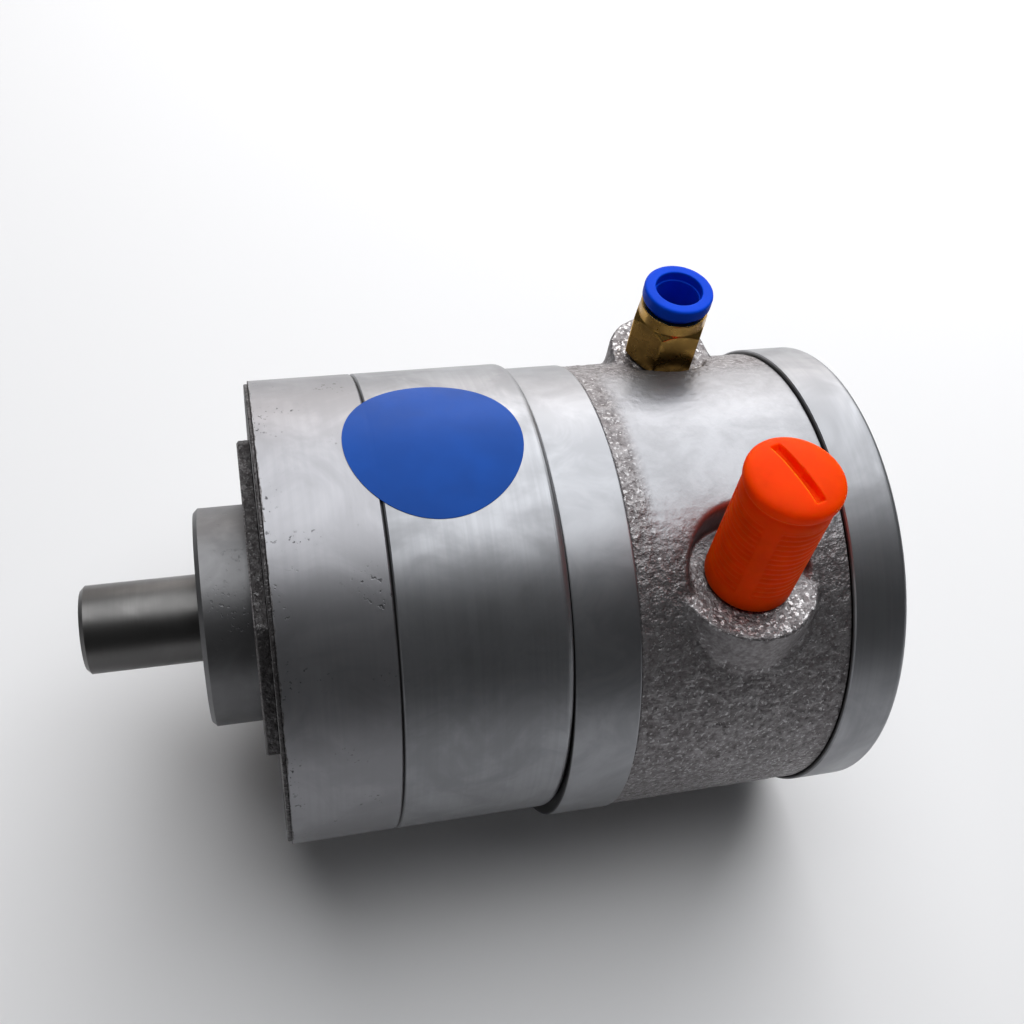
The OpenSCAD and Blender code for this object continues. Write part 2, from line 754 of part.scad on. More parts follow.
// Sun gear, with a slot along its bore for the upper half of the key.
module sun_gear() {
    hub_relief = 0.2;
    hub_r = gear_module * sun_teeth / 2 - dedendum - hub_relief;
    half_w = key_w / 2 + fit_gap;
    color([0.52, 0.52, 0.55]) difference() {
        on_axis() union() {
            translate([0, 0, x_planet]) linear_extrude(gear_w)
                polygon(gear_outline(sun_teeth, addendum, dedendum, tooth_play, 0));
            rod(hub_r, x_planet + gear_w / 2, x_rotor_bearing_1);
        }
        on_axis() rod(sun_bore_r, x_planet - past, x_rotor_bearing_1 + past);
        on_axis() translate([-half_w, 0, x_planet - past])
            cube([2 * half_w, sun_bore_r + key_w / 2 + fit_gap, x_rotor_bearing_1 - x_planet + 2 * past]);
    }
}

// Open clip on the rotor shaft in front of the sun gear.
module sun_clip() {
    color([0.25, 0.25, 0.27]) on_axis() difference() {
        ring(sun_bore_r - clip_bite, sun_bore_r + sun_clip_wall, x_planet - sun_clip_w, x_planet);
        rotate(downwards - clip_opening) translate([0, 0, x_planet - sun_clip_w - past])
            rotate_extrude(angle = 2 * clip_opening) square([2 * sun_bore_r, sun_clip_w + 2 * past]);
    }
}

// Rotor with its two journals and the nose that carries the sun gear.
module rotor() {
    nose_lift = 1.2;
    slot_relief = 0.5;
    slot_r = rotor_r - vane_h - slot_relief;
    slot_w_cut = vane_w + 2 * run_gap;
    x_nose = x_planet - sun_clip_w - nose_lift;
    x_groove = x_planet - sun_clip_w - fit_gap;
    nose_r = sun_bore_r - fit_gap;
    clip_r = sun_bore_r - clip_bite - fit_gap;
    color([0.45, 0.46, 0.5]) difference() {
        on_axis() lathe([
            [0, x_nose], [nose_r, x_nose], [nose_r, x_groove], [clip_r, x_groove],
            [clip_r, x_planet + fit_gap], [nose_r, x_planet + fit_gap],
            [nose_r, x_rotor_bearing_1], [journal_r, x_rotor_bearing_1],
            [journal_r, x_body], [rotor_r, x_body], [rotor_r, x_body_end], [journal_r, x_body_end],
            [journal_r, x_cap], [0, x_cap]
        ]);
        for (angle = vane_angles) {
            on_axis() rotate(angle) translate([slot_r, -slot_w_cut / 2, x_body - past])
                cube([rotor_r, slot_w_cut, x_body_end - x_body + 2 * past]);
        }
        key_block(fit_gap);
    }
}

// One vane, pushed home in its slot, with a tip that follows the rotor.
module vane(angle) {
    tip_gap = 0.1;
    color([0.45, 0.3, 0.18]) on_axis() intersection() {
        rotate(angle) translate([rotor_r - vane_h, -vane_w / 2, x_body])
            cube([vane_h, vane_w, x_body_end - x_body]);
        rod(rotor_r - tip_gap, x_body - past, x_body_end + past);
    }
}

// Air fittings

z_hex = boss_top + hex_lift;
z_hex_end = z_hex + hex_h;
z_collet = z_hex_end + collet_travel + end_gap;
z_collet_end = z_collet + collet_h;
stem_wall = 1.4;
stem_r = tube_bore_d / 2 + stem_wall;
stem_reach = 8;
z_stem = z_collet - stem_reach;
grab_w = 1;
z_grab = z_stem - collet_travel - end_gap - grab_w;
tube_seal_r = 1.2;
z_tube_seal = z_grab - end_gap - tube_seal_r;
socket_r = stem_r + run_gap;
z_socket = z_tube_seal - tube_seal_r - groove_play;
thread_r = port_d / 2 - run_gap;
thread_foot = 2;
z_thread = boss_top - port_depth + thread_foot;

// Brass push-in fitting: a hexagon with turned corners over a threaded stem.
module inlet_fitting() {
    corner_r = hex_flats / 2 / cos(30);
    collar_inset = 0.2;
    collar_r = collet_d / 2 - collar_inset;
    crown = 4;
    foot_inset = 1.2;
    foot_rise = 0.7;
    passage_inset = 0.5;
    color([0.72, 0.52, 0.22]) at_inlet() difference() {
        union() {
            intersection() {
                translate([0, 0, z_hex]) cylinder(r = corner_r, h = hex_h, $fn = 6);
                lathe([
                    [0, z_hex], [corner_r - foot_inset, z_hex], [corner_r, z_hex + foot_rise],
                    [corner_r, z_hex_end - crown], [collar_r, z_hex_end], [0, z_hex_end]
                ]);
            }
            rod(thread_r, z_thread, z_hex);
        }
        rod(socket_r, z_socket, z_hex_end + past);
        rod(passage_d / 2 - passage_inset, z_thread - past, z_socket + past);
    }
}

// Blue ring that is pressed down to let the tube go, with its sleeve.
module release_collet() {
    bevel = 0.7;
    outer_r = collet_d / 2;
    bore_r = tube_bore_d / 2;
    color([0.05, 0.25, 0.85]) at_inlet() lathe([
        [bore_r, z_stem], [stem_r, z_stem], [stem_r, z_collet], [outer_r - bevel / 2, z_collet],
        [outer_r, z_collet + bevel / 2], [outer_r, z_collet_end - bevel], [outer_r - bevel, z_collet_end],
        [bore_r + bevel, z_collet_end], [bore_r, z_collet_end - bevel]
    ]);
}

// Toothed steel washer that grips the tube.
module grab_ring() {
    color([0.75, 0.75, 0.77]) at_inlet()
        ring(tube_bore_d / 2, socket_r - fit_gap, z_grab, z_grab + grab_w);
}

module tube_seal() {
    color(rubber_black) at_inlet() translate([0, 0, z_tube_seal])
        rotate_extrude() translate([socket_r - tube_seal_r - groove_play, 0]) circle(r = tube_seal_r);
}

z_muffler = boss_top + muffler_lift;
z_muffler_end = z_muffler + muffler_h;
z_head = z_muffler_end - muffler_head_h;
muffler_r = muffler_d / 2;
muffler_wall = 1.8;

// Plastic muffler: a threaded cup with ribbed panels and a slotted head.
module muffler() {
    head_r = muffler_head_d / 2;
    dome = 2;
    dome_low = 1;
    dome_middle = 0.2;
    shoulder_inset = 0.5;
    shoulder_h = 0.8;
    crown_inset = 1.8;
    neck = 0.5;
    neck_h = 1;
    foot_round = 0.6;
    rib_cut = 0.6;
    rib_share = 0.55;
    rib_gap = rib_share * rib_pitch;
    panel_span = 70;
    panel_foot = 5;
    panel_headroom = 3;
    panel_low = z_muffler + panel_foot;
    panel_high = z_head - panel_headroom;
    rib_count = floor((panel_high - panel_low) / rib_pitch);
    inner_r = muffler_r - muffler_wall;
    color([0.95, 0.35, 0.08]) at_exhaust() difference() {
        lathe([
            [0, z_thread], [thread_r, z_thread], [thread_r, z_muffler], [muffler_r - foot_round, z_muffler],
            [muffler_r, z_muffler + foot_round], [muffler_r, z_head - neck_h], [muffler_r - neck, z_head],
            [head_r, z_head + neck_h], [head_r, z_muffler_end - dome - shoulder_h],
            [head_r - shoulder_inset, z_muffler_end - dome],
            [head_r - crown_inset, z_muffler_end - dome_low],
            [head_r / 2, z_muffler_end - dome_middle], [0, z_muffler_end]
        ]);
        rod(inner_r, z_muffler + muffler_wall, z_head);
        rod(passage_d / 2, z_thread - past, z_muffler + muffler_wall + past);
        for (i = [0:rib_count - 1], angle = muffler_panels) {
            translate([0, 0, panel_low + i * rib_pitch]) rotate(angle) rotate_extrude(angle = panel_span)
                translate([muffler_r - rib_cut, 0]) square([2 * rib_cut, rib_gap]);
        }
        translate([0, 0, z_muffler_end - slot_depth]) rotate(slot_turn)
            translate([-slot_length / 2, -slot_w / 2, 0]) cube([slot_length, slot_w, 2 * slot_depth]);
    }
}

// Porous sleeve inside the muffler.
module muffler_element() {
    wall = 2;
    outer_r = muffler_r - muffler_wall - fit_gap;
    color([0.9, 0.9, 0.88]) at_exhaust()
        ring(outer_r - wall, outer_r, z_muffler + muffler_wall, z_head);
}

// Round sticker wrapped over the joint of the front cover and the gear housing.
module sticker() {
    under_r = body_r + fit_gap;
    color([0.02, 0.22, 0.62]) intersection() {
        on_axis() ring(under_r, under_r + sticker_thickness, x_face + edge_step_w, x_motor);
        translate([x_face + sticker_offset, 0, 0]) rotate([-sticker_turn, 0, 0])
            rod(sticker_d / 2, 0, body_d);
    }
}

front_cover();
gear_housing();
motor_housing();
rear_cap();
cylinder_liner();
front_end_plate();
rear_end_plate();
tie_bolts();
cap_screws();
cover_o_ring();
gear_o_ring();
cap_o_ring();
shaft_seal();
bearing_spacer();
bearing_clip();
output_carrier();
planet_pins();
planet_gear(planet_angles[0]);  // planet_1
planet_gear(planet_angles[1]);  // planet_2
planet_gear(planet_angles[2]);  // planet_3
planet_bush(planet_angles[0]);  // planet_bush_1
planet_bush(planet_angles[1]);  // planet_bush_2
planet_bush(planet_angles[2]);  // planet_bush_3
sun_gear();
sun_key();
sun_clip();
rotor();
vane(vane_angles[0]);  // vane_1
vane(vane_angles[1]);  // vane_2
vane(vane_angles[2]);  // vane_3
vane(vane_angles[3]);  // vane_4
vane(vane_angles[4]);  // vane_5
vane(vane_angles[5]);  // vane_6
output_bearing_outer(x_bearing_1);  // output_bearing_1_outer
output_bearing_inner(x_bearing_1);  // output_bearing_1_inner
output_bearing_balls(x_bearing_1);  // output_bearing_1_balls
output_bearing_outer(x_bearing_2);  // output_bearing_2_outer
output_bearing_inner(x_bearing_2);  // output_bearing_2_inner
output_bearing_balls(x_bearing_2);  // output_bearing_2_balls
rotor_bearing_outer(x_rotor_bearing_1);  // rotor_bearing_1_outer
rotor_bearing_inner(x_rotor_bearing_1);  // rotor_bearing_1_inner
rotor_bearing_balls(x_rotor_bearing_1);  // rotor_bearing_1_balls
rotor_bearing_outer(x_rotor_bearing_2);  // rotor_bearing_2_outer
rotor_bearing_inner(x_rotor_bearing_2);  // rotor_bearing_2_inner
rotor_bearing_balls(x_rotor_bearing_2);  // rotor_bearing_2_balls
inlet_fitting();
release_collet();
grab_ring();
tube_seal();
muffler();
muffler_element();
sticker();
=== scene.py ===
"""Finish of an air vane motor: the cast housing, the moulded and turned trim, the materials and the stage.

All sizes are metres in the frame of the packed part: the shaft points along -X and the air ports along +Z.
"""

import json
import math

import bpy
import numpy as np
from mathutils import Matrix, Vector

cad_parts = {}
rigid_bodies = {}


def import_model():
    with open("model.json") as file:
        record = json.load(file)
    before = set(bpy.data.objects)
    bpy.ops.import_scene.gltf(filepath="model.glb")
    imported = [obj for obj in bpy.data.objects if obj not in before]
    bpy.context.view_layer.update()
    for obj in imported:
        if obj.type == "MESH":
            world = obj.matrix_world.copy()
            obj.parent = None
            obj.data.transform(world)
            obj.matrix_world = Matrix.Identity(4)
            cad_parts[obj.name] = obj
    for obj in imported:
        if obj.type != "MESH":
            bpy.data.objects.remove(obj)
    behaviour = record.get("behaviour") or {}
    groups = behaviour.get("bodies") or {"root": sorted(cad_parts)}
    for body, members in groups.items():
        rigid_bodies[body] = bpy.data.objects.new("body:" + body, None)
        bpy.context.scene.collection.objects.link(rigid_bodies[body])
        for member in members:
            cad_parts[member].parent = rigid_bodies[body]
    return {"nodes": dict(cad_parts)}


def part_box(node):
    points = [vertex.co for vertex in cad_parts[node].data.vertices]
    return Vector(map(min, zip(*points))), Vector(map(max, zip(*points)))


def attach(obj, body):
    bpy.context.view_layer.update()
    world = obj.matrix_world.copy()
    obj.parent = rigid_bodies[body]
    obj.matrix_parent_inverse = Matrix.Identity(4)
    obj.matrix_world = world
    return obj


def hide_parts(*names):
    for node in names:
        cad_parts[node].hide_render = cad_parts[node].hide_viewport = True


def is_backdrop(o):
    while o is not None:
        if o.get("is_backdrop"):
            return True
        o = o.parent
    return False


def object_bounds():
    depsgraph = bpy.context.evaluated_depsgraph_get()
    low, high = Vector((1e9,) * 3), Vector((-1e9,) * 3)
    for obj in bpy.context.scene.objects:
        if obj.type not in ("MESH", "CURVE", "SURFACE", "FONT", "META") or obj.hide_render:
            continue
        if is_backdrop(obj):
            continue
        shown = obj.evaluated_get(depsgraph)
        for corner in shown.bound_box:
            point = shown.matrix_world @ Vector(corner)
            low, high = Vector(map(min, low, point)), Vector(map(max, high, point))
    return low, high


bl_info = {
    "name": "Air vane motor finish",
    "version": (1, 0, 0),
    "blender": (4, 5, 0),
    "location": "View3D > Sidebar > Motor",
    "description": "Builds the cast, moulded and turned surfaces of an air vane motor over its frame",
    "category": "Object",
}


def clear_start_file():
    """Removes the objects that a new file starts with, so that only the part is measured."""
    for thing in list(bpy.data.objects):
        bpy.data.objects.remove(thing)


clear_start_file()
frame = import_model()

MM = 0.001
HOUSING = "housing"
COLLET = "collet"


def box_of(node):
    """The lowest and highest corner of a node as arrays."""
    low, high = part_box(node)
    return np.array(low), np.array(high)


CAD_LOW, CAD_HIGH = (np.array(corner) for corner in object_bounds())
GEAR_LOW, GEAR_HIGH = box_of("gear_housing")
CASTING_LOW, CASTING_HIGH = box_of("motor_housing")
CAP_LOW = box_of("rear_cap")[0]
FITTING_LOW, FITTING_HIGH = box_of("inlet_fitting")
COLLET_LOW, COLLET_HIGH = box_of("release_collet")
MUFFLER_LOW, MUFFLER_HIGH = box_of("muffler")
STICKER_LOW, STICKER_HIGH = box_of("sticker")

BODY_R = GEAR_HIGH[2]
BAND_R = (CASTING_HIGH[2] - CASTING_LOW[2]) / 2
BORE_Z = (CASTING_HIGH[2] + CASTING_LOW[2]) / 2
PORT_X = (FITTING_LOW[0] + FITTING_HIGH[0]) / 2
INLET_Y = (FITTING_LOW[1] + FITTING_HIGH[1]) / 2
EXHAUST_Y = (MUFFLER_LOW[1] + MUFFLER_HIGH[1]) / 2
FLOOR_Z = CAD_LOW[2]


# Properties


def length(name, description, millimetres):
    """A length that a user may change, with its default in millimetres."""
    return bpy.props.FloatProperty(
        name=name, description=description, default=millimetres * MM, min=0.0, precision=5,
        subtype="DISTANCE", unit="LENGTH",
    )


def turn(name, description, degrees):
    """An angle that a user may change."""
    return bpy.props.FloatProperty(
        name=name, description=description, default=math.radians(degrees), subtype="ANGLE", unit="ROTATION"
    )


def tint(name, description, colour):
    """A colour that a user may change, in linear light."""
    return bpy.props.FloatVectorProperty(
        name=name, description=description, default=colour, size=3, min=0.0, max=1.0, subtype="COLOR"
    )


class CastingSizes(bpy.types.PropertyGroup):
    """Sizes of the motor housing and of the cast rims on the front cover."""

    band_length: length("Band length", "Length of the machined band", 14.5)
    cast_radius: length("Cast radius", "Radius of the rough cast middle", 53.5)
    liner_radius: length("Liner radius", "Radius of the bore that holds the liner", 37.0)
    inlet_boss: length("Inlet boss", "Radius of the inlet boss", 12.5)
    exhaust_boss: length("Exhaust boss", "Radius of the exhaust boss", 15.75)
    boss_top: length("Boss top", "Height of the boss tops above the shaft axis", 38.8)
    inlet_seat: length("Inlet seat", "Radius of the seat sunk round the inlet", 11.0)
    exhaust_seat: length("Exhaust seat", "Radius of the seat sunk round the exhaust", 13.1)
    edge_round: length("Edge round", "Round on the edges of the machined band", 0.6)
    grain_pitch: length("Grain pitch", "Distance between the grains of the casting", 1.1)
    grain_height: length("Grain height", "Height of the grains of the casting", 0.16)
    pilot_radius: length("Pilot radius", "Radius of the pilot", 25.0)
    pad_radius: length("Pad radius", "Radius of the cast pad on the front cover", 39.5)
    pad_rise: length("Pad rise", "Height of the pad above the front cover", 2.9)
    pad_flat: length("Pad flats", "Distance of the pad's three flats from the shaft axis", 31.2)
    edge_step: length("Edge step", "Drop of the unturned front edge of the cover", 0.8)
    edge_step_width: length("Edge step width", "Width of the unturned front edge", 0.8)


class MufflerSizes(bpy.types.PropertyGroup):
    """Sizes of the exhaust muffler."""

    thread_radius: length("Thread radius", "Radius of the thread", 6.55)
    body_radius: length("Body radius", "Radius of the ribbed body", 9.5)
    base_height: length("Base height", "Height of the body's base above the shaft axis", 39.4)
    head_height: length("Head height", "Height of the slotted head", 5.0)
    rib_pitch: length("Rib pitch", "Distance between the ribs", 1.6)
    rib_depth: length("Rib depth", "Depth of the gaps between the ribs", 0.17)
    slot_width: length("Slot width", "Width of the driver slot", 2.4)
    slot_length: length("Slot length", "Length of the driver slot", 15.3)
    slot_depth: length("Slot depth", "Depth of the driver slot", 1.9)
    slot_turn: turn("Slot turn", "Turn of the driver slot from the X axis", 107)
    panel_turn: turn("Panel turn", "Where the first ribbed panel starts", 245)
    panel_span: turn("Panel span", "Angle that a ribbed panel covers", 70)


class FittingSizes(bpy.types.PropertyGroup):
    """Sizes of the push-in fitting and its release collet."""

    thread_radius: length("Thread radius", "Radius of the thread", 6.55)
    hex_flats: length("Hexagon", "Width across the flats", 16.0)
    hex_base: length("Hexagon base", "Height of the hexagon's base above the shaft axis", 39.4)
    crown: length("Crown", "Height of the turned crown over the hexagon", 4.2)
    collar: length("Collar", "Height of the round collar in the crown", 3.0)
    socket_radius: length("Socket radius", "Radius of the socket that holds the collet", 6.6)
    ring_height: length("Ring height", "Thickness of the collet ring", 3.2)
    stem_radius: length("Stem radius", "Radius of the collet's sleeve", 6.55)
    bore_radius: length("Bore radius", "Radius of the tube bore", 5.15)


class StickerSizes(bpy.types.PropertyGroup):
    """Sizes of the round sticker."""

    thickness: length("Thickness", "Thickness of the film", 0.15)
    lean: turn("Lean", "Turn of the sticker away from the top", 3.5)
    ripple: length("Ripple", "Height of the film's slow ripple", 0.03)


class MotorColours(bpy.types.PropertyGroup):
    """Colours of the visible pieces."""

    turned: tint("Turned casting", "Turned cast metal of the front cover", (0.27, 0.27, 0.285))
    satin: tint("Satin metal", "Satin metal of the gear housing and the cap", (0.27, 0.275, 0.29))
    # Cast peaks lighter and pits darker: partly the casting's own tone, partly painted light and shade on the
    # grains
    cast_peak: tint("Cast peaks", "Tops of the casting's grains", (0.26, 0.25, 0.254))
    cast_pit: tint("Cast pits", "Hollows between the casting's grains", (0.15, 0.137, 0.14))
    # Painted highlight: glints are a lighter tone on the shinier grains
    painted_glint: tint("Glints", "Broken faces of the casting's brightest grains", (0.34, 0.333, 0.337))
    steel: tint("Steel", "Shaft steel", (0.135, 0.132, 0.13))
    brass: tint("Brass", "Push-in fitting", (0.56, 0.33, 0.085))
    collet: tint("Collet", "Release collet", (0.002, 0.066, 0.70))
    muffler: tint("Muffler", "Moulded muffler", (0.94, 0.055, 0.0))
    sticker: tint("Sticker", "Round sticker", (0.002, 0.066, 0.36))
    pilot: tint("Pilot", "Darker turned metal of the pilot", (0.17, 0.17, 0.175))
    floor: tint("Floor", "Pale floor", (0.80, 0.80, 0.81))


# Surfaces

# Noise: how many random values it draws, a power of two, and the factors that mix a cell's indices
DRAWS = 4096
MIXERS = np.array([73856093, 19349663, 83492791])

# Points on a rounded corner, and the largest share of a side that its round takes
CORNER_POINTS = 7
SIDE_SHARE = 0.45


def lattice_noise(points, pitch, seed):
    """Smooth noise from -1 to 1: random values on a cubic lattice, blended between the eight corners of each
    cell with the weights 3t^2 - 2t^3."""
    values = np.random.default_rng(seed).uniform(-1.0, 1.0, DRAWS)
    place = points / pitch
    cell = np.floor(place).astype(np.int64)
    part = place - cell
    part = part * part * (3.0 - 2.0 * part)
    total = np.zeros(points.shape[:-1])
    for corner in np.ndindex(2, 2, 2):
        key = (cell + np.array(corner)) * MIXERS
        mixed = key[..., 0] ^ key[..., 1] ^ key[..., 2]
        weight = np.where(np.array(corner) == 1, part, 1.0 - part).prod(axis=-1)
        total += weight * values[mixed & (DRAWS - 1)]
    return total


def ramp(value, low, high):
    """A smooth ramp: 0 below low and 1 above high."""
    t = np.clip((value - low) / (high - low), 0.0, 1.0)
    return t * t * (3.0 - 2.0 * t)


def window(value, low, high, soft):
    """1 between low and high, falling to 0 over the soft distance outside."""
    return ramp(value, low - soft, low) * (1.0 - ramp(value, high, high + soft))


def rounded_profile(step, closed, corners):
    """Outline through corners given as (radius, height, round). Each corner becomes the curve
    (1-t)^2 a + 2t(1-t) c + t^2 b between points a and b that lie its round away along both sides, and each
    straight stretch is split so that no piece is longer than the step."""
    place = np.array([corner[:2] for corner in corners], float)
    size = np.array([corner[2] for corner in corners], float)
    t = np.linspace(0.0, 1.0, CORNER_POINTS)[:, None]
    pieces = []
    count = len(place)
    for i in range(count):
        here = place[i]
        ends = []
        for other in (place[i - 1], place[(i + 1) % count]):
            side = other - here
            far = np.linalg.norm(side)
            ends.append(here + side / far * min(size[i], SIDE_SHARE * far))
        open_end = not closed and i in (0, count - 1)
        sharp = size[i] == 0.0
        curve = (1 - t) ** 2 * ends[0] + 2 * t * (1 - t) * here + t**2 * ends[1]
        pieces.append(here[None, :] if open_end or sharp else curve)
    if closed:
        pieces.append(pieces[0][:1])
    rough = np.concatenate(pieces)
    gaps = np.linalg.norm(np.diff(rough, axis=0), axis=1)
    splits = np.maximum(1, np.ceil(gaps / step)).astype(int)
    start = np.repeat(np.arange(len(gaps)), splits)
    first = np.concatenate([[0], np.cumsum(splits)[:-1]])
    share = (np.arange(len(start)) - first[start]) / splits[start]
    points = rough[start] + share[:, None] * (rough[start + 1] - rough[start])
    return points if closed else np.concatenate([points, rough[-1:]])


def about_z(radius, height, angle, x, y):
    """Points of a shape turned about a vertical axis: (x + r cos a, y + r sin a, h)."""
    return np.stack([x + radius * np.cos(angle), y + radius * np.sin(angle), height + 0.0 * angle], axis=-1)


def about_x(radius, along, angle, z):
    """Points of a shape turned about an axis along X at height z: (x, r cos a, z + r sin a)."""
    return np.stack([along + 0.0 * angle, radius * np.cos(angle), z + radius * np.sin(angle)], axis=-1)


def circle(count):
    """Evenly spaced angles round a full turn."""
    return np.linspace(0.0, 2.0 * np.pi, count, endpoint=False)[None, :]


def surface(name, points, closed, values=None):
    """An object with quads over points[row, column]. Columns always wrap round. Rows wrap round when closed,
    and otherwise the first and last rows shrink to one pole each, joined by triangles."""
    rows, columns = points.shape[:2]
    if closed:
        places = points.reshape(-1, 3)
        index = np.arange(rows * columns).reshape(rows, columns)
        above = np.roll(index, -1, axis=0)
        fans = np.zeros((0, 3), int)
    else:
        middle = points[1:-1].reshape(-1, 3)
        places = np.concatenate([points[:1, 0], middle, points[-1:, 0]])
        grid = 1 + np.arange((rows - 2) * columns).reshape(rows - 2, columns)
        index, above = grid[:-1], grid[1:]
        low, high = grid[0], grid[-1]
        pole = np.full(columns, len(places) - 1)
        fans = np.concatenate([
            np.stack([np.zeros(columns, int), np.roll(low, -1), low], axis=-1),
            np.stack([pole, high, np.roll(high, -1)], axis=-1),
        ])
    ahead, ahead_above = np.roll(index, -1, axis=1), np.roll(above, -1, axis=1)
    quads = np.stack([index, ahead, ahead_above, above], axis=-1).reshape(-1, 4)
    loops = np.concatenate([quads.ravel(), fans.ravel()])
    starts = np.concatenate([4 * np.arange(len(quads)), 4 * len(quads) + 3 * np.arange(len(fans))])
    mesh = bpy.data.meshes.new(name)
    mesh.vertices.add(len(places))
    mesh.vertices.foreach_set("co", places.ravel())
    mesh.loops.add(len(loops))
    mesh.loops.foreach_set("vertex_index", loops)
    mesh.polygons.add(len(starts))
    mesh.polygons.foreach_set("loop_start", starts)
    mesh.update(calc_edges=True)
    mesh.shade_smooth()
    for key, field in (values or {}).items():
        attribute = mesh.attributes.new(key, "FLOAT", "POINT")
        attribute.data.foreach_set("value", field.ravel())
    piece = bpy.data.objects.new(name, mesh)
    bpy.context.scene.collection.objects.link(piece)
    return piece


def finish_piece(piece, material, body, slot, *nodes):
    """Gives a piece its material, the body that carries it, its slot and the nodes that it stands for."""
    piece.data.materials.append(material)
    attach(piece, body)
    if nodes:
        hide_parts(*nodes)


# Motor housing

# Least sine and cosine that a ray's distance is divided by
LEAST_RISE = 0.1
LEAST_REACH = 1e-4

# Grain: the seeds of its two sizes, pitch and weight of the coarse one, and how steeply the grains stand
COARSE_SEED = 11
FINE_SEED = 12
COARSE_PITCH = 1.6
COARSE_WEIGHT = 0.5
GRAIN_STEEPNESS = 1.3

# Casting mesh: columns, how far they crowd at the ports, rows of cast skin, and the longest turned steps
CASTING_COLUMNS = 600
PORT_CROWDING = 0.35
CAST_ROWS = 112
SKIN_PASSES = 2
FRONT_STEP = 4.0 * MM
REAR_STEP = 6.0 * MM

# Patch that is ground smooth on top: degrees from +Y, and where it begins and is full behind the band
GROUND_LOW, GROUND_HIGH, GROUND_SOFT = 70.0, 108.0, 14.0
GROUND_BEGINS, GROUND_FULL = 3.0 * MM, 7.0 * MM

# Where the skin counts as boss wall, boss top, sunk seat and seat wall: heights over plain skin or boss top
BOSS_WALL = (0.6 * MM, 2.0 * MM)
BOSS_TOP = (-0.8 * MM, -0.1 * MM)
SEAT_SUNK = (0.3 * MM, 0.9 * MM)
# The seat wall's range marks where painted shade darkens the wall of the sunk seat
SEAT_WALL_SHADE = (0.2 * MM, 0.9 * MM)

# The cast rows start behind the band and end before the rear face by these, and the rear edge is broken
CAST_START, CAST_END = 0.05 * MM, 0.25 * MM
REAR_EDGE = 0.1 * MM

# Values that the casting's mesh holds at its points for its material
FIELDS = ("cast", "grain", "ground", "smooth", "boss_top", "seat_wall_shade")

# Plain skin at the front and rear ends, and the share of the grain that smooth places lose
PLAIN_FRONT = 0.8 * MM
PLAIN_REAR = 0.6 * MM
GRAIN_LOSS = 0.8


def casting_skin(angle, along, sizes):
    """Distance from the cylinder axis to the cast skin. A ray at an angle a leaves a boss through its flat
    top at top / sin a, or through its outer wall at (port y + half width) / cos a, and it meets the sunk seat
    where the seat's floor or inner wall lies below the round skin."""
    rise = np.sin(angle)
    reach = np.maximum(np.abs(np.cos(angle)), LEAST_REACH)
    upper = rise > LEAST_RISE
    inlet_side = np.cos(angle) > 0.0
    port = np.where(inlet_side, INLET_Y, -EXHAUST_Y)
    boss_r = np.where(inlet_side, sizes.inlet_boss, sizes.exhaust_boss)
    seat_r = np.where(inlet_side, sizes.inlet_seat, sizes.exhaust_seat)
    flat = (sizes.boss_top - BORE_Z) / np.maximum(rise, LEAST_RISE)
    across = along - PORT_X
    boss_half = np.sqrt(np.maximum(boss_r**2 - across**2, 0.0))
    seat_half = np.sqrt(np.maximum(seat_r**2 - across**2, 0.0))
    boss = np.minimum(flat, (port + boss_half) / reach)
    stands = upper & (np.abs(across) < boss_r) & (boss * reach >= port - boss_half)
    skin = np.where(stands, np.maximum(boss, sizes.cast_radius), sizes.cast_radius)
    floor = np.maximum(flat, (port - seat_half) / reach)
    sunk = upper & (np.abs(across) < seat_r) & (floor < sizes.cast_radius)
    sunk &= floor * reach <= port + seat_half
    return np.where(sunk, floor, skin)


def soften(field, passes):
    """Averages each value with its neighbours, weights 1 2 1, round the columns and along the rows."""
    for _ in range(passes):
        field = (np.roll(field, 1, axis=1) + 2.0 * field + np.roll(field, -1, axis=1)) / 4.0
        padded = np.pad(field, ((1, 1), (0, 0)), mode="edge")
        field = (padded[:-2] + 2.0 * field + padded[2:]) / 4.0
    return field


def cast_grain(points, pitch):
    """Pebbled grain from -1 to 1: two sizes of noise, steepened so that the grains stand apart."""
    coarse = lattice_noise(points, COARSE_PITCH * pitch, COARSE_SEED)
    fine = lattice_noise(points, pitch, FINE_SEED)
    return np.tanh(GRAIN_STEEPNESS * (fine + COARSE_WEIGHT * coarse))


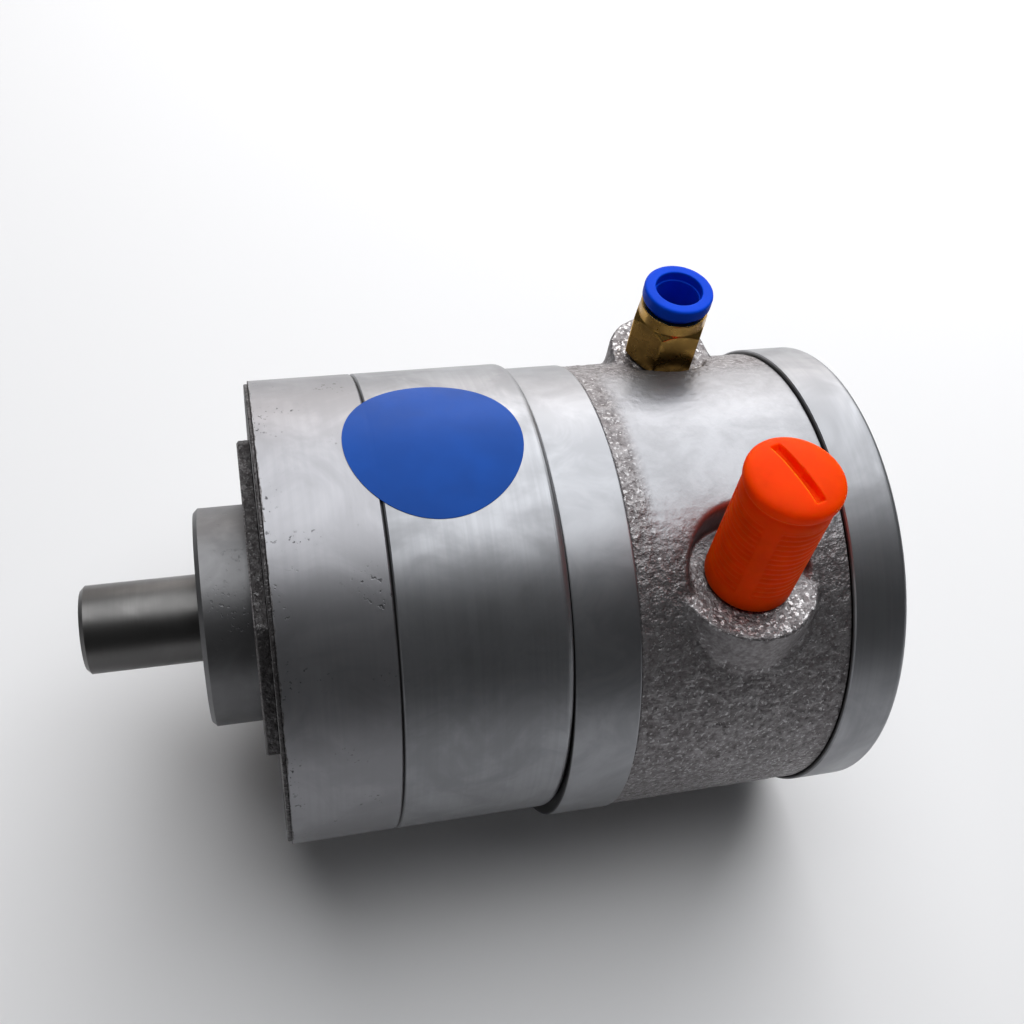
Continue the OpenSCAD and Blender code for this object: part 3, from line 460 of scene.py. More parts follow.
def build_casting(sizes, colours):
    """The motor housing as one closed loop of rows: bore, front face, machined band, cast skin and rear face.
    Columns lie evenly in a - c (cos a - 1), so they are closer at the ports."""
    even = np.linspace(0.0, 2.0 * np.pi, 4 * CASTING_COLUMNS)
    crowding = even - PORT_CROWDING * (np.cos(even) - 1.0)
    spread = np.linspace(0.0, crowding[-1], CASTING_COLUMNS, endpoint=False)
    angle = np.interp(spread, crowding, even)[None, :]
    x_front, x_rear = CASTING_LOW[0], CASTING_HIGH[0]
    x_cast = x_front + sizes.band_length
    edge = sizes.edge_round
    turned = rounded_profile(FRONT_STEP, False, [
        (sizes.liner_radius, x_rear - 2 * edge, 0.0),
        (sizes.liner_radius, x_front, edge),
        (BAND_R, x_front, edge),
        (BAND_R, x_cast, edge),
        (sizes.cast_radius - edge, x_cast, 0.0),
    ])
    along = np.linspace(x_cast + CAST_START, x_rear - CAST_END, CAST_ROWS)
    row = along[:, None]
    radius = soften(casting_skin(angle, row, sizes), SKIN_PASSES)
    shape = about_x(radius, row, angle, BORE_Z)
    grain = cast_grain(shape, sizes.grain_pitch)
    ground = window(np.degrees(angle), GROUND_LOW, GROUND_HIGH, GROUND_SOFT)
    ground = ground * ramp(row, x_cast + GROUND_BEGINS, x_cast + GROUND_FULL)
    ends = window(row, x_cast + PLAIN_FRONT, x_rear - PLAIN_REAR, PLAIN_REAR)
    over_skin, over_top = radius - sizes.cast_radius, shape[..., 2] - sizes.boss_top
    boss_wall = ramp(over_skin, *BOSS_WALL)
    flat_top = ramp(over_top, *BOSS_TOP) * boss_wall
    smooth = np.maximum(ground, boss_wall * (1.0 - flat_top))
    # Painted shade on the walls of the sunk seats, the recesses round the bosses
    seat_wall_shade = ramp(-over_skin, *SEAT_SUNK) * ramp(over_top, *SEAT_WALL_SHADE)
    calm = (1.0 - GRAIN_LOSS * smooth) * ends
    radius = radius + sizes.grain_height * grain * calm
    rear = rounded_profile(REAR_STEP, False, [
        (sizes.cast_radius, x_rear - REAR_EDGE, 0.0),
        (sizes.cast_radius - 0.3 * edge, x_rear, 0.0),
        (sizes.liner_radius, x_rear, 0.0),
        (sizes.liner_radius, x_rear - edge, 0.0),
    ])
    wide = np.ones_like(angle)
    all_radius = np.concatenate([turned[:, :1] * wide, radius, rear[:, :1] * wide])
    all_along = np.concatenate([turned[:, 1], along, rear[:, 1]])[:, None]
    before, after = np.zeros_like(turned[:, :1] * wide), np.zeros_like(rear[:, :1] * wide)
    fields = (np.ones_like(radius), grain * calm, ground + 0.0 * radius, smooth, flat_top, seat_wall_shade)
    values = {key: np.concatenate([before, field, after]) for key, field in zip(FIELDS, fields)}
    piece = surface("motor_housing_casting", about_x(all_radius, all_along, angle, BORE_Z), True, values)
    material = casting_metal(colours, "rough_casting_finish", 1.0)
    finish_piece(piece, material, HOUSING, "rough_casting", "motor_housing")


# Cast rims of the front cover

# Directions of the pad's flats in degrees from +Y toward +Z, and the least cosine that a flat is divided by
PAD_SIDES = (90.0, 210.0, 330.0)
LEAST_FACING = 0.1

# Rim mesh: columns, the longest step of the section and the round of its front edge
RIM_COLUMNS = 620
RIM_STEP = 0.4 * MM
RIM_ROUND = 0.35 * MM

# Relief of the rims: height of the grain and its pitch against the casting's, and the slow swell
RIM_GRAIN = 0.12 * MM
RIM_GRAIN_PITCH = 0.9
RIM_SWELL = 0.10 * MM
SWELL_PITCH = 6.0 * MM
SWELL_SEED = 21

# The rims lie over the solid by the lap and reach in by their depths, and the pad's starts behind its face
RIM_LAP = 0.1 * MM
PAD_RIM_DEPTH = 1.4 * MM
EDGE_RIM_DEPTH = 1.6 * MM
PAD_RIM_START = 0.25 * MM
# Share of the cast tones on the rims: painted shade on rims that face away from the key light
RIM_PAINTED_SHADE = 0.38


def build_rim(name, radius, depth, x_front, x_rear, sizes, material, flat=None):
    """A rough cast ring over a rim: a rounded section carried round the axis, lifted by the cast grain.
    A flat distance f cuts the outline at three sides b, to the radius f / cos(a - b)."""
    angle = circle(RIM_COLUMNS)
    inward = 0.0 * angle
    if flat is not None:
        facing = np.maximum.reduce([np.cos(angle - np.radians(side)) for side in PAD_SIDES])
        inward = np.minimum(0.0, flat / np.maximum(facing, LEAST_FACING) - radius)
    section = rounded_profile(RIM_STEP, True, [
        (radius - depth, x_front, 0.0),
        (radius, x_front, RIM_ROUND),
        (radius, x_rear, 0.0),
        (radius - depth, x_rear, 0.0),
    ])
    r, along = section[:, :1], section[:, 1:]
    shape = about_x(r + inward, along, angle, 0.0)
    grain = cast_grain(shape, RIM_GRAIN_PITCH * sizes.grain_pitch)
    outer = ramp(r, radius - depth, radius - 0.2 * depth)
    swell = lattice_noise(shape, SWELL_PITCH, SWELL_SEED)
    lift = outer * (RIM_GRAIN * grain + RIM_SWELL * swell)
    values = {"cast": outer + 0.0 * grain, "grain": grain * outer}
    piece = surface(name, about_x(r + inward + lift, along, angle, 0.0), True, values)
    finish_piece(piece, material, HOUSING, "rough_casting")


def build_rims(sizes, colours):
    """The rim of the mounting pad and the unturned front edge of the cover."""
    # The rims take the cast tones darkened, as painted shade
    material = casting_metal(colours, "cast_rim_finish", RIM_PAINTED_SHADE)
    x_face = sizes.pad_rise
    x_step = x_face + sizes.edge_step_width
    pad = (sizes.pad_radius + RIM_LAP, PAD_RIM_DEPTH, PAD_RIM_START, x_face + RIM_LAP)
    edge = (BODY_R - sizes.edge_step + RIM_LAP, EDGE_RIM_DEPTH, x_face - RIM_LAP, x_step)
    build_rim("pad_rim_casting", *pad, sizes, material, sizes.pad_flat + RIM_LAP)
    build_rim("cover_edge_casting", *edge, sizes, material)


# Muffler

# Muffler mesh: columns and the longest step of the profile
MUFFLER_COLUMNS = 264
MUFFLER_STEP = 0.19 * MM

# The ribs begin above the base and end below the head, in panels with soft sides that lie a little sunk
RIBS_BEGIN = 4.6 * MM
RIBS_END = 2.6 * MM
PANEL_SOFT = math.radians(2.0)
PANEL_SUNK = 0.06 * MM

# Softness of the driver slot's sides, and the heights over the neck where the slot starts and is full
SLOT_SOFT = 0.25 * MM
SLOT_STARTS, SLOT_FULL = 1.5 * MM, 2.0 * MM


def build_muffler(sizes, colours):
    """A turned profile with ribbed panels and a slotted dome: its radius is the profile's less
    rib depth * wave(h) * panel(a) and the panel's sink, and the dome sinks inside the slot's rectangle."""
    top = MUFFLER_HIGH[2]
    head_r = (MUFFLER_HIGH[0] - MUFFLER_LOW[0]) / 2
    neck_z = top - sizes.head_height
    base, body = sizes.base_height, sizes.body_radius
    profile = rounded_profile(MUFFLER_STEP, False, [
        (0.0, MUFFLER_LOW[2], 0.0),
        (sizes.thread_radius, MUFFLER_LOW[2], 0.6 * MM),
        (sizes.thread_radius, base, 0.15 * MM),
        (body, base, 0.9 * MM),
        (body, neck_z - 1.0 * MM, 0.8 * MM),
        (body - 0.35 * MM, neck_z, 0.5 * MM),
        (head_r, neck_z + 1.1 * MM, 0.9 * MM),
        (head_r, top - 1.5 * MM, 2.9 * MM),
        (0.55 * head_r, top - 0.3 * MM, 2.5 * MM),
        (0.0, top, 0.0),
    ])
    angle = circle(MUFFLER_COLUMNS)
    r, h = profile[:, :1], profile[:, 1:]
    low, high = base + RIBS_BEGIN, neck_z - RIBS_END
    outer = r > 0.9 * body
    wave = 0.5 - 0.5 * np.cos(2.0 * np.pi * (h - low) / sizes.rib_pitch)
    wave = ramp(wave, 0.25, 0.75) * window(h, low, high, 0.05 * MM) * outer
    within = np.mod(angle - sizes.panel_turn, np.pi / 2.0)
    panel = window(within, PANEL_SOFT, sizes.panel_span - PANEL_SOFT, PANEL_SOFT)
    sink = PANEL_SUNK * panel * window(h, low, high, 0.5 * MM) * outer
    radius = r - sizes.rib_depth * wave * panel - sink
    flat = about_z(radius, h, angle, 0.0, 0.0)
    way = np.array([math.cos(sizes.slot_turn), math.sin(sizes.slot_turn)])
    run = flat[..., 0] * way[0] + flat[..., 1] * way[1]
    side = flat[..., 1] * way[0] - flat[..., 0] * way[1]
    soft, end_soft = SLOT_SOFT, 4 * SLOT_SOFT
    slot = window(np.abs(side), -1.0, 0.5 * sizes.slot_width - soft, soft)
    slot = slot * window(np.abs(run), -1.0, 0.5 * sizes.slot_length - end_soft, end_soft)
    slot = slot * ramp(h, neck_z + SLOT_STARTS, neck_z + SLOT_FULL)
    sunk = flat[..., 2] - slot * np.maximum(0.0, flat[..., 2] - (top - sizes.slot_depth))
    shape = np.stack([PORT_X + flat[..., 0], EXHAUST_Y + flat[..., 1], sunk], axis=-1)
    piece = surface("muffler_moulding", shape, False)
    finish_piece(piece, moulded_orange(colours), HOUSING, "orange_plastic", "muffler")


# Push-in fitting

# Fitting and collet meshes: columns and the longest steps of their sections
FITTING_COLUMNS = 240
FITTING_STEP = 0.18 * MM
COLLET_COLUMNS = 192
COLLET_STEP = 0.35 * MM

# Walls of the thread and the collar, the web under the socket, and the softness of the hexagon's edges
THREAD_WALL = 2.0 * MM
COLLAR_WALL = 1.3 * MM
WEB = 2.0 * MM
HEX_BLEND = 0.08 * MM
LARGEST_POWER = 40.0

# The collet's bore widens near its mouth by the ledge, over these depths
LEDGE = 0.3 * MM
LEDGE_TOP, LEDGE_END = 2.2 * MM, 2.3 * MM


def build_fitting(sizes, colours):
    """The brass body: outside it is the smaller of a hexagon, flats / (2 cos a), and a turned profile with a
    chamfer and a collar, blended as r - b log(1 + exp((r - hexagon) / b)), and inside it is a plain socket
    over a passage."""
    angle = circle(FITTING_COLUMNS)
    half = sizes.hex_flats / 2
    corner = half / math.cos(math.pi / 6)
    top, low = FITTING_HIGH[2], FITTING_LOW[2]
    collar = sizes.stem_radius + COLLAR_WALL
    passage = sizes.thread_radius - THREAD_WALL
    web_top = sizes.hex_base + WEB
    outside = rounded_profile(FITTING_STEP, True, [
        (passage, low, 0.0),
        (sizes.thread_radius, low, 0.5 * MM),
        (sizes.thread_radius, sizes.hex_base, 0.2 * MM),
        (corner - 1.2 * MM, sizes.hex_base, 0.2 * MM),
        (corner, sizes.hex_base + 0.7 * MM, 0.2 * MM),
        (corner, top - sizes.crown, 0.25 * MM),
        (collar, top - sizes.collar, 0.3 * MM),
        (collar, top, 0.25 * MM),
        (sizes.socket_radius, top, 0.2 * MM),
        (sizes.socket_radius, web_top, 0.2 * MM),
        (passage, web_top, 0.2 * MM),
    ])
    r, h = outside[:, :1], outside[:, 1:]
    sector = np.mod(angle, np.pi / 3.0) - np.pi / 6.0
    flats = half / np.cos(sector)
    gap = np.clip((flats - r) / HEX_BLEND, -LARGEST_POWER, LARGEST_POWER)
    radius = r - HEX_BLEND * np.log1p(np.exp(-gap))
    piece = surface("fitting_body", about_z(radius, h, angle, PORT_X, INLET_Y), True)
    finish_piece(piece, brass_metal(colours), HOUSING, "fitting_brass", "inlet_fitting")


def build_collet(sizes, colours):
    """The release collet: a rounded ring on a sleeve, a closed section carried round the port axis."""
    angle = circle(COLLET_COLUMNS)
    ring_r = (COLLET_HIGH[0] - COLLET_LOW[0]) / 2
    top, low = COLLET_HIGH[2], COLLET_LOW[2]
    under = top - sizes.ring_height
    bore = sizes.bore_radius
    section = rounded_profile(COLLET_STEP, True, [
        (bore, low, 0.15 * MM),
        (sizes.stem_radius, low, 0.2 * MM),
        (sizes.stem_radius, under, 0.2 * MM),
        (ring_r, under, 0.5 * MM),
        (ring_r, top, 0.75 * MM),
        (bore + LEDGE, top, 0.35 * MM),
        (bore + LEDGE, top - LEDGE_TOP, 0.15 * MM),
        (bore, top - LEDGE_END, 0.15 * MM),
    ])
    shape = about_z(section[:, :1] + 0.0 * angle, section[:, 1:], angle, PORT_X, INLET_Y)
    piece = surface("collet_ring", shape, True)
    finish_piece(piece, moulded_blue(colours), COLLET, "blue_plastic", "release_collet")


# Sticker

# Sticker mesh: columns and the longest step of the section
STICKER_COLUMNS = 220
STICKER_STEP = 0.5 * MM

# Width of the dip over the joint line, and the pitch and seed of the ripple
JOINT_WIDTH = 0.35 * MM
RIPPLE_PITCH = 9.0 * MM
RIPPLE_SEED = 31


def build_sticker(sizes, colours):
    """A thin round film bent over the body: (x + p cos a, p sin a, sqrt(R^2 - (p sin a)^2)), turned about X
    by the lean. The top face sinks a little into the joint line and carries a slow ripple."""
    angle = circle(STICKER_COLUMNS)
    reach = (STICKER_HIGH[0] - STICKER_LOW[0]) / 2
    centre_x = (STICKER_HIGH[0] + STICKER_LOW[0]) / 2
    under = STICKER_HIGH[2] - sizes.thickness
    section = rounded_profile(STICKER_STEP, False, [
        (0.0, under, 0.0),
        (reach, under, 0.04 * MM),
        (reach, under + sizes.thickness, 0.07 * MM),
        (0.0, under + sizes.thickness, 0.0),
    ])
    p, level = section[:, :1], section[:, 1:]
    run, side = p * np.cos(angle), p * np.sin(angle)
    x = centre_x + run
    spot = np.stack([x, side, np.zeros_like(x)], axis=-1)
    upper = ramp(level, under + 0.9 * sizes.thickness, under + sizes.thickness)
    joint = np.exp(-(((x - GEAR_LOW[0]) / JOINT_WIDTH) ** 2))
    ripple = lattice_noise(spot, RIPPLE_PITCH, RIPPLE_SEED) * sizes.ripple * 0.5
    radius = level + upper * (ripple - sizes.ripple - sizes.ripple * joint)
    y, z = side, np.sqrt(radius**2 - side**2)
    lean_c, lean_s = math.cos(sizes.lean), math.sin(sizes.lean)
    shape = np.stack([x, y * lean_c + z * lean_s, z * lean_c - y * lean_s], axis=-1)
    piece = surface("sticker_film", shape, False)
    finish_piece(piece, sticker_film(colours), HOUSING, "blue_sticker", "sticker")


# Materials

# Stretch that draws noise out into rings round X or into lines round Z
RINGS = (1.0, 0.02, 0.02)
UPRIGHT_LINES = (0.03, 0.03, 1.0)

# Grime in the joint lines: full and faded distances from the line, strength and colour
GRIME_FULL, GRIME_FADED = 0.12 * MM, 0.32 * MM
GRIME_STRENGTH = 0.85
GRIME_COLOUR = (0.03, 0.028, 0.027)

# Metallic share and roughness of machined cast metal, and how much brighter the boss tops' painted glints are
SATIN_METAL = 0.92
SATIN_ROUGH = 0.38
# Painted light: the glints on the upturned boss tops are made lighter still
BOSS_TOP_PAINTED_LIGHT = 1.45

# Front edge of the turned cover: how far noise moves its ragged line, where the skin starts and is full, and
# how far behind the edge pits crowd together
RAGGED_REACH = 1.2 * MM
SKIN_STARTS, SKIN_FULL = 0.65 * MM, 0.85 * MM
PITS_REACH = 6.0 * MM


class Finish:
    """A node material with one shader, and short calls that add and link its nodes."""

    def __init__(self, name):
        self.material = bpy.data.materials.new(name)
        self.material.use_nodes = True
        self.tree = self.material.node_tree
        self.tree.nodes.clear()
        self.shader = self.tree.nodes.new("ShaderNodeBsdfPrincipled")
        output = self.tree.nodes.new("ShaderNodeOutputMaterial")
        self.tree.links.new(self.shader.outputs["BSDF"], output.inputs["Surface"])

    def node(self, kind, output, sockets=None, **settings):
        """Adds a shader node and gives one output. A socket takes a plain value, or an output to link."""
        made = self.tree.nodes.new("ShaderNode" + kind)
        for key, value in settings.items():
            setattr(made, key, value)
        for key, value in (sockets or {}).items():
            self.plug(made.inputs[key], value)
        return made.outputs[output]

    def plug(self, socket, value):
        """Sets a socket to a value, or links an output to it."""
        if isinstance(value, bpy.types.NodeSocket):
            self.tree.links.new(value, socket)
        else:
            socket.default_value = value

    def shade(self, **sockets):
        """Sets the shader's own sockets, named with underscores for spaces, and gives the material."""
        for key, value in sockets.items():
            self.plug(self.shader.inputs[key.replace("_", " ")], value)
        return self.material

    def place(self, scale=(1.0, 1.0, 1.0)):
        """Object coordinates in metres, stretched by a scale."""
        where = self.node("TexCoord", "Object")
        return self.node("Mapping", "Vector", {"Vector": where, "Scale": scale})

    def noise(self, scale, detail=3.0, rough=0.55, stretch=(1.0, 1.0, 1.0), twist=0.0):
        """Noise from about 0 to 1, with scale in cells per metre."""
        sockets = {
            "Vector": self.place(stretch),
            "Scale": scale,
            "Detail": detail,
            "Roughness": rough,
            "Distortion": twist,
        }
        return self.node("TexNoise", "Fac", sockets)

    def remap(self, value, low, high, to_low=0.0, to_high=1.0):
        """A value carried smoothly from one range to another, and held at its ends."""
        sockets = {"Value": value, "From Min": low, "From Max": high, "To Min": to_low, "To Max": to_high}
        return self.node("MapRange", "Result", sockets, interpolation_type="SMOOTHSTEP")

    def math(self, operation, first, second):
        """Two values joined by one operation."""
        return self.node("Math", "Value", {0: first, 1: second}, operation=operation)

    def off_axis(self):
        """Distance from the shaft axis in metres."""
        across = self.place((0.0, 1.0, 1.0))
        return self.node("VectorMath", "Value", {0: across}, operation="LENGTH")

    def along(self):
        """Place along the shaft axis in metres."""
        return self.node("SeparateXYZ", "X", {"Vector": self.place()})

    def grime(self, tone, places):
        """A tone darkened in the narrow joint lines at some places along X."""
        along = self.along()
        for place in places:
            apart = self.math("ABSOLUTE", self.math("SUBTRACT", along, place), 0.0)
            share = self.remap(apart, GRIME_FULL, GRIME_FADED, GRIME_STRENGTH, 0.0)
            tone = self.mix(share, tone, GRIME_COLOUR)
        return tone

    def attribute(self, name):
        """A value that the mesh holds at its points."""
        return self.node("Attribute", "Fac", attribute_name=name)

    def mix(self, share, first, second):
        """Two colours mixed by a share."""
        sockets = {0: share, 6: self.opaque(first), 7: self.opaque(second)}
        return self.node("Mix", 2, sockets, data_type="RGBA")

    def mix_value(self, share, first, second):
        """Two values mixed by a share."""
        return self.node("Mix", 0, {0: share, 2: first, 3: second}, data_type="FLOAT")

    def blotch(self, smear, low, high, colour, dark, light):
        """A darker and a lighter tone of a colour, shared out by noise."""
        return self.mix(self.remap(smear, low, high), scaled(colour, dark), scaled(colour, light))

    def bump(self, height, strength, depth):
        """A normal bent by a height."""
        sockets = {"Height": height, "Strength": strength, "Distance": depth}
        return self.node("Bump", "Normal", sockets)

    @staticmethod
    def opaque(colour):
        """A colour with its fourth channel, or an output as it is."""
        return colour if isinstance(colour, bpy.types.NodeSocket) else (*colour, 1.0)


def scaled(colour, share):
    """A darker or lighter tone of a colour."""
    return tuple(min(1.0, channel * share) for channel in colour)


def turned_metal(name, colour, metal, rough, ring_scale=900.0, blotch_scale=70.0, joints=()):
    """Turned metal: fine rings along X, soft blotches, and grime in its joint lines."""
    look = Finish(name)
    rings = look.noise(ring_scale, 2.0, 0.6, RINGS)
    smear = look.noise(blotch_scale, 4.0, 0.6, twist=0.6)
    tone = look.blotch(smear, 0.38, 0.66, colour, 0.84, 1.08)
    tone = look.mix(look.remap(rings, 0.3, 0.7, 0.0, 0.35), tone, scaled(colour, 0.78))
    tone = look.grime(tone, joints)
    return look.shade(
        Base_Color=tone,
        Metallic=metal,
        Roughness=look.remap(smear, 0.3, 0.75, rough + 0.07, rough - 0.05),
        Normal=look.bump(rings, 0.25, 0.03 * MM),
    )


def cover_metal(colours, sizes):
    """The front cover by distance from the axis: dark turned pilot, rough cast face and pad, and turned skin
    with pits and a ragged front edge."""
    look = Finish("front_cover_finish")
    off_axis = look.off_axis()
    front = sizes.pad_rise + sizes.edge_step_width
    along = look.along()
    ragged = look.math("ADD", along, look.math("MULTIPLY", look.noise(260.0, 3.0), RAGGED_REACH))
    skin = look.remap(off_axis, BODY_R - 0.6 * MM, BODY_R - 0.3 * MM)
    skin = look.math("MULTIPLY", skin, look.remap(ragged, front + SKIN_STARTS, front + SKIN_FULL))
    pilot = look.remap(off_axis, sizes.pilot_radius + 0.2 * MM, sizes.pilot_radius + 0.5 * MM, 1.0, 0.0)
    rings = look.noise(900.0, 2.0, 0.6, RINGS)
    smear = look.noise(60.0, 4.0, 0.6, twist=0.8)
    fine = look.noise(1500.0, 3.0, 0.65)
    tone = look.blotch(smear, 0.38, 0.66, colours.turned, 0.86, 1.06)
    tone = look.mix(look.remap(rings, 0.3, 0.7, 0.0, 0.25), tone, scaled(colours.turned, 0.8))
    near_front = look.remap(along, front, front + PITS_REACH, 0.1, 0.0)
    crowd = look.remap(look.math("ADD", look.noise(95.0, 2.0), near_front), 0.55, 0.68)
    hole = look.math("MULTIPLY", look.remap(look.noise(1150.0, 2.0, 0.5), 0.62, 0.70), crowd)
    tone = look.mix(hole, tone, scaled(colours.turned, 0.25))
    # Cast face tone follows its bump: partly own tone, partly painted light on tops and painted shade in
    # hollows
    pits, peaks = scaled(colours.cast_pit, 0.45), scaled(colours.cast_peak, 0.7)
    cast = look.mix(look.remap(fine, 0.35, 0.65), pits, peaks)
    pilot_tone = look.blotch(smear, 0.35, 0.68, colours.pilot, 0.85, 1.08)
    tone = look.mix(skin, cast, tone)
    tone = look.grime(look.mix(pilot, tone, pilot_tone), (GEAR_LOW[0],))
    lines = look.math("SUBTRACT", look.math("MULTIPLY", rings, 0.35), look.math("MULTIPLY", hole, 1.5))
    height = look.mix_value(look.math("MAXIMUM", skin, pilot), fine, lines)
    return look.shade(
        Base_Color=tone,
        Metallic=SATIN_METAL,
        Roughness=look.mix_value(skin, look.mix_value(pilot, 0.55, 0.44), 0.40),
        Normal=look.bump(height, 0.4, 0.06 * MM),
    )


def casting_metal(colours, name, shade):
    """Sand cast metal: bright grains and dark pits on the cast skin, satin metal on the machined band."""
    # shade scales the cast skin's tones; below 1 it is painted shade
    look = Finish(name)
    cast, grain, ground, smooth, boss_top, seat_wall_shade = (look.attribute(key) for key in FIELDS)
    # Grain tone follows the bump height: partly own tone, partly painted light on tops and painted shade in
    # hollows
    fine = look.noise(1050.0, 2.5, 0.6)
    speckle = look.math("ADD", look.math("MULTIPLY", grain, 0.2), look.math("SUBTRACT", fine, 0.5))
    tone = look.mix(
        look.remap(speckle, -0.25, 0.28), scaled(colours.cast_pit, shade), scaled(colours.cast_peak, shade)
    )
    warm = look.noise(45.0, 3.0)
    tone = look.mix(look.remap(warm, 0.4, 0.7, 0.0, 0.35), tone, scaled(colours.cast_peak, 0.62 * shade))
    rough_part = look.math("SUBTRACT", 1.0, look.math("MULTIPLY", smooth, 0.85))
    pit = look.remap(look.noise(760.0, 2.0, 0.5), 0.58, 0.68, 0.0, 0.5)
    tone = look.mix(look.math("MULTIPLY", pit, rough_part), tone, scaled(colours.cast_pit, 0.4 * shade))
    # Painted glints: shinier grains get a lighter tone as painted highlights, more and lighter on the boss
    # tops
    painted_glint_noise = look.math("ADD", look.noise(1300.0, 1.5, 0.5), look.math("MULTIPLY", boss_top, 0.06))
    painted_glint = look.math("MULTIPLY", look.remap(painted_glint_noise, 0.60, 0.67), rough_part)
    painted_glint_tone = look.mix(boss_top, scaled(colours.painted_glint, shade), scaled(colours.painted_glint, BOSS_TOP_PAINTED_LIGHT * shade))
    tone = look.mix(painted_glint, tone, painted_glint_tone)
    # Painted shade: the sunk seats' walls are darkened
    tone = look.mix(look.math("MULTIPLY", seat_wall_shade, 0.8), tone, scaled(colours.cast_pit, 0.3 * shade))
    smear = look.noise(85.0, 4.0, 0.6, twist=0.7)
    smooth_tone = look.blotch(smear, 0.35, 0.68, colours.satin, 0.86, 1.06)
    worn = look.math("MULTIPLY", ground, 0.9)
    tone = look.mix(worn, tone, smooth_tone)
    tone = look.grime(look.mix(cast, smooth_tone, tone), (CASTING_LOW[0], CASTING_HIGH[0]))
    rings = look.noise(900.0, 2.0, 0.6, RINGS)
    rough_cast = look.mix_value(painted_glint, look.remap(speckle, -0.3, 0.3, 0.58, 0.46), 0.36)
    rough_cast = look.mix_value(worn, rough_cast, SATIN_ROUGH)
    ringed, grained = look.math("MULTIPLY", rings, 0.03), look.math("MULTIPLY", fine, rough_part)
    height = look.mix_value(cast, ringed, grained)
    return look.shade(
        Base_Color=tone,
        Metallic=look.mix_value(cast, SATIN_METAL, 0.85),
        Roughness=look.mix_value(cast, SATIN_ROUGH, rough_cast),
        Normal=look.bump(height, 1.0, 0.42 * MM),
    )


def brass_metal(colours):
    """Turned brass with a brown tarnish."""
    look = Finish("brass_finish")
    tarnish = look.noise(160.0, 4.0, 0.6)
    lines = look.noise(1400.0, 2.0, 0.5, UPRIGHT_LINES)
    tone = look.blotch(tarnish, 0.36, 0.68, colours.brass, 0.62, 1.0)
    return look.shade(
        Base_Color=tone,
        Metallic=1.0,
        Roughness=look.remap(tarnish, 0.3, 0.7, 0.36, 0.22),
        Normal=look.bump(lines, 0.12, 0.03 * MM),
    )


def moulded_plastic(name, colour, rough, grain, shine, glow):
    """Moulded plastic: a faint cloud of a deeper tone, a fine skin texture and light that glows through."""
    look = Finish(name)
    cloud = look.noise(130.0, 3.0)
    skin = look.noise(grain, 2.0, 0.6)
    return look.shade(
        Base_Color=look.blotch(cloud, 0.3, 0.7, colour, 0.86, 1.0),
        Roughness=look.remap(skin, 0.3, 0.7, rough - 0.05, rough + 0.07),
        IOR=1.47,
        Specular_IOR_Level=shine,
        Subsurface_Weight=glow,
        Subsurface_Radius=(1.0, 0.3, 0.1),
        Subsurface_Scale=6.0 * MM,
        Normal=look.bump(skin, 0.12, 0.03 * MM),
    )


def moulded_orange(colours):
    """Orange muffler plastic."""
    return moulded_plastic("orange_moulding", colours.muffler, 0.50, 2200.0, 0.04, 0.8)


def moulded_blue(colours):
    """Blue collet plastic."""
    return moulded_plastic("blue_moulding", colours.collet, 0.40, 2600.0, 0.04, 0.0)


def sticker_film(colours):
    """Printed film with a faint skin texture."""
    look = Finish("sticker_finish")
    cloud = look.noise(60.0, 3.0)
    skin = look.noise(700.0, 3.0, 0.6)
    return look.shade(
        Base_Color=look.blotch(cloud, 0.35, 0.65, colours.sticker, 0.85, 1.0),
        Roughness=look.remap(skin, 0.3, 0.7, 0.30, 0.40),
        Specular_IOR_Level=0.08,
        Normal=look.bump(skin, 0.08, 0.02 * MM),
    )


def plain_stuff(name, colour, metal, rough, grain):
    """Inner pieces: one tone clouded by noise, with a fine grain."""
    look = Finish(name)
    cloud = look.noise(grain, 4.0, 0.6)
    return look.shade(
        Base_Color=look.blotch(cloud, 0.3, 0.7, colour, 0.8, 1.1),
        Metallic=metal,
        Roughness=look.remap(cloud, 0.3, 0.7, rough + 0.06, rough - 0.04),
        Normal=look.bump(cloud, 0.1, 0.03 * MM),
    )


# Inner pieces of one tone: colour, metallic share, roughness, and grain in cells per metre
PLAIN_LOOKS = {
    "black_bolts": ((0.03, 0.03, 0.035), 0.6, 0.45, 500.0),
    "black_rubber": ((0.02, 0.02, 0.02), 0.0, 0.65, 900.0),
    "spring_steel": ((0.20, 0.20, 0.22), 1.0, 0.35, 600.0),
    "gear_steel": ((0.42, 0.42, 0.44), 1.0, 0.32, 400.0),
    "plate_iron": ((0.36, 0.36, 0.37), 0.8, 0.45, 300.0),
    "vane_composite": ((0.20, 0.11, 0.05), 0.0, 0.55, 800.0),
    "bush_bronze": ((0.50, 0.30, 0.12), 1.0, 0.35, 500.0),
    "porous_plastic": ((0.75, 0.75, 0.72), 0.0, 0.8, 1500.0),
}

# Inner pieces that are turned: colour, metallic share and roughness
TURNED_LOOKS = {
    "ground_steel": ((0.55, 0.55, 0.57), 1.0, 0.22),
    "rotor_steel": ((0.40, 0.41, 0.44), 1.0, 0.30),
    "bearing_steel": ((0.60, 0.60, 0.62), 1.0, 0.18),
    "liner_iron": ((0.34, 0.34, 0.35), 0.8, 0.45),
}


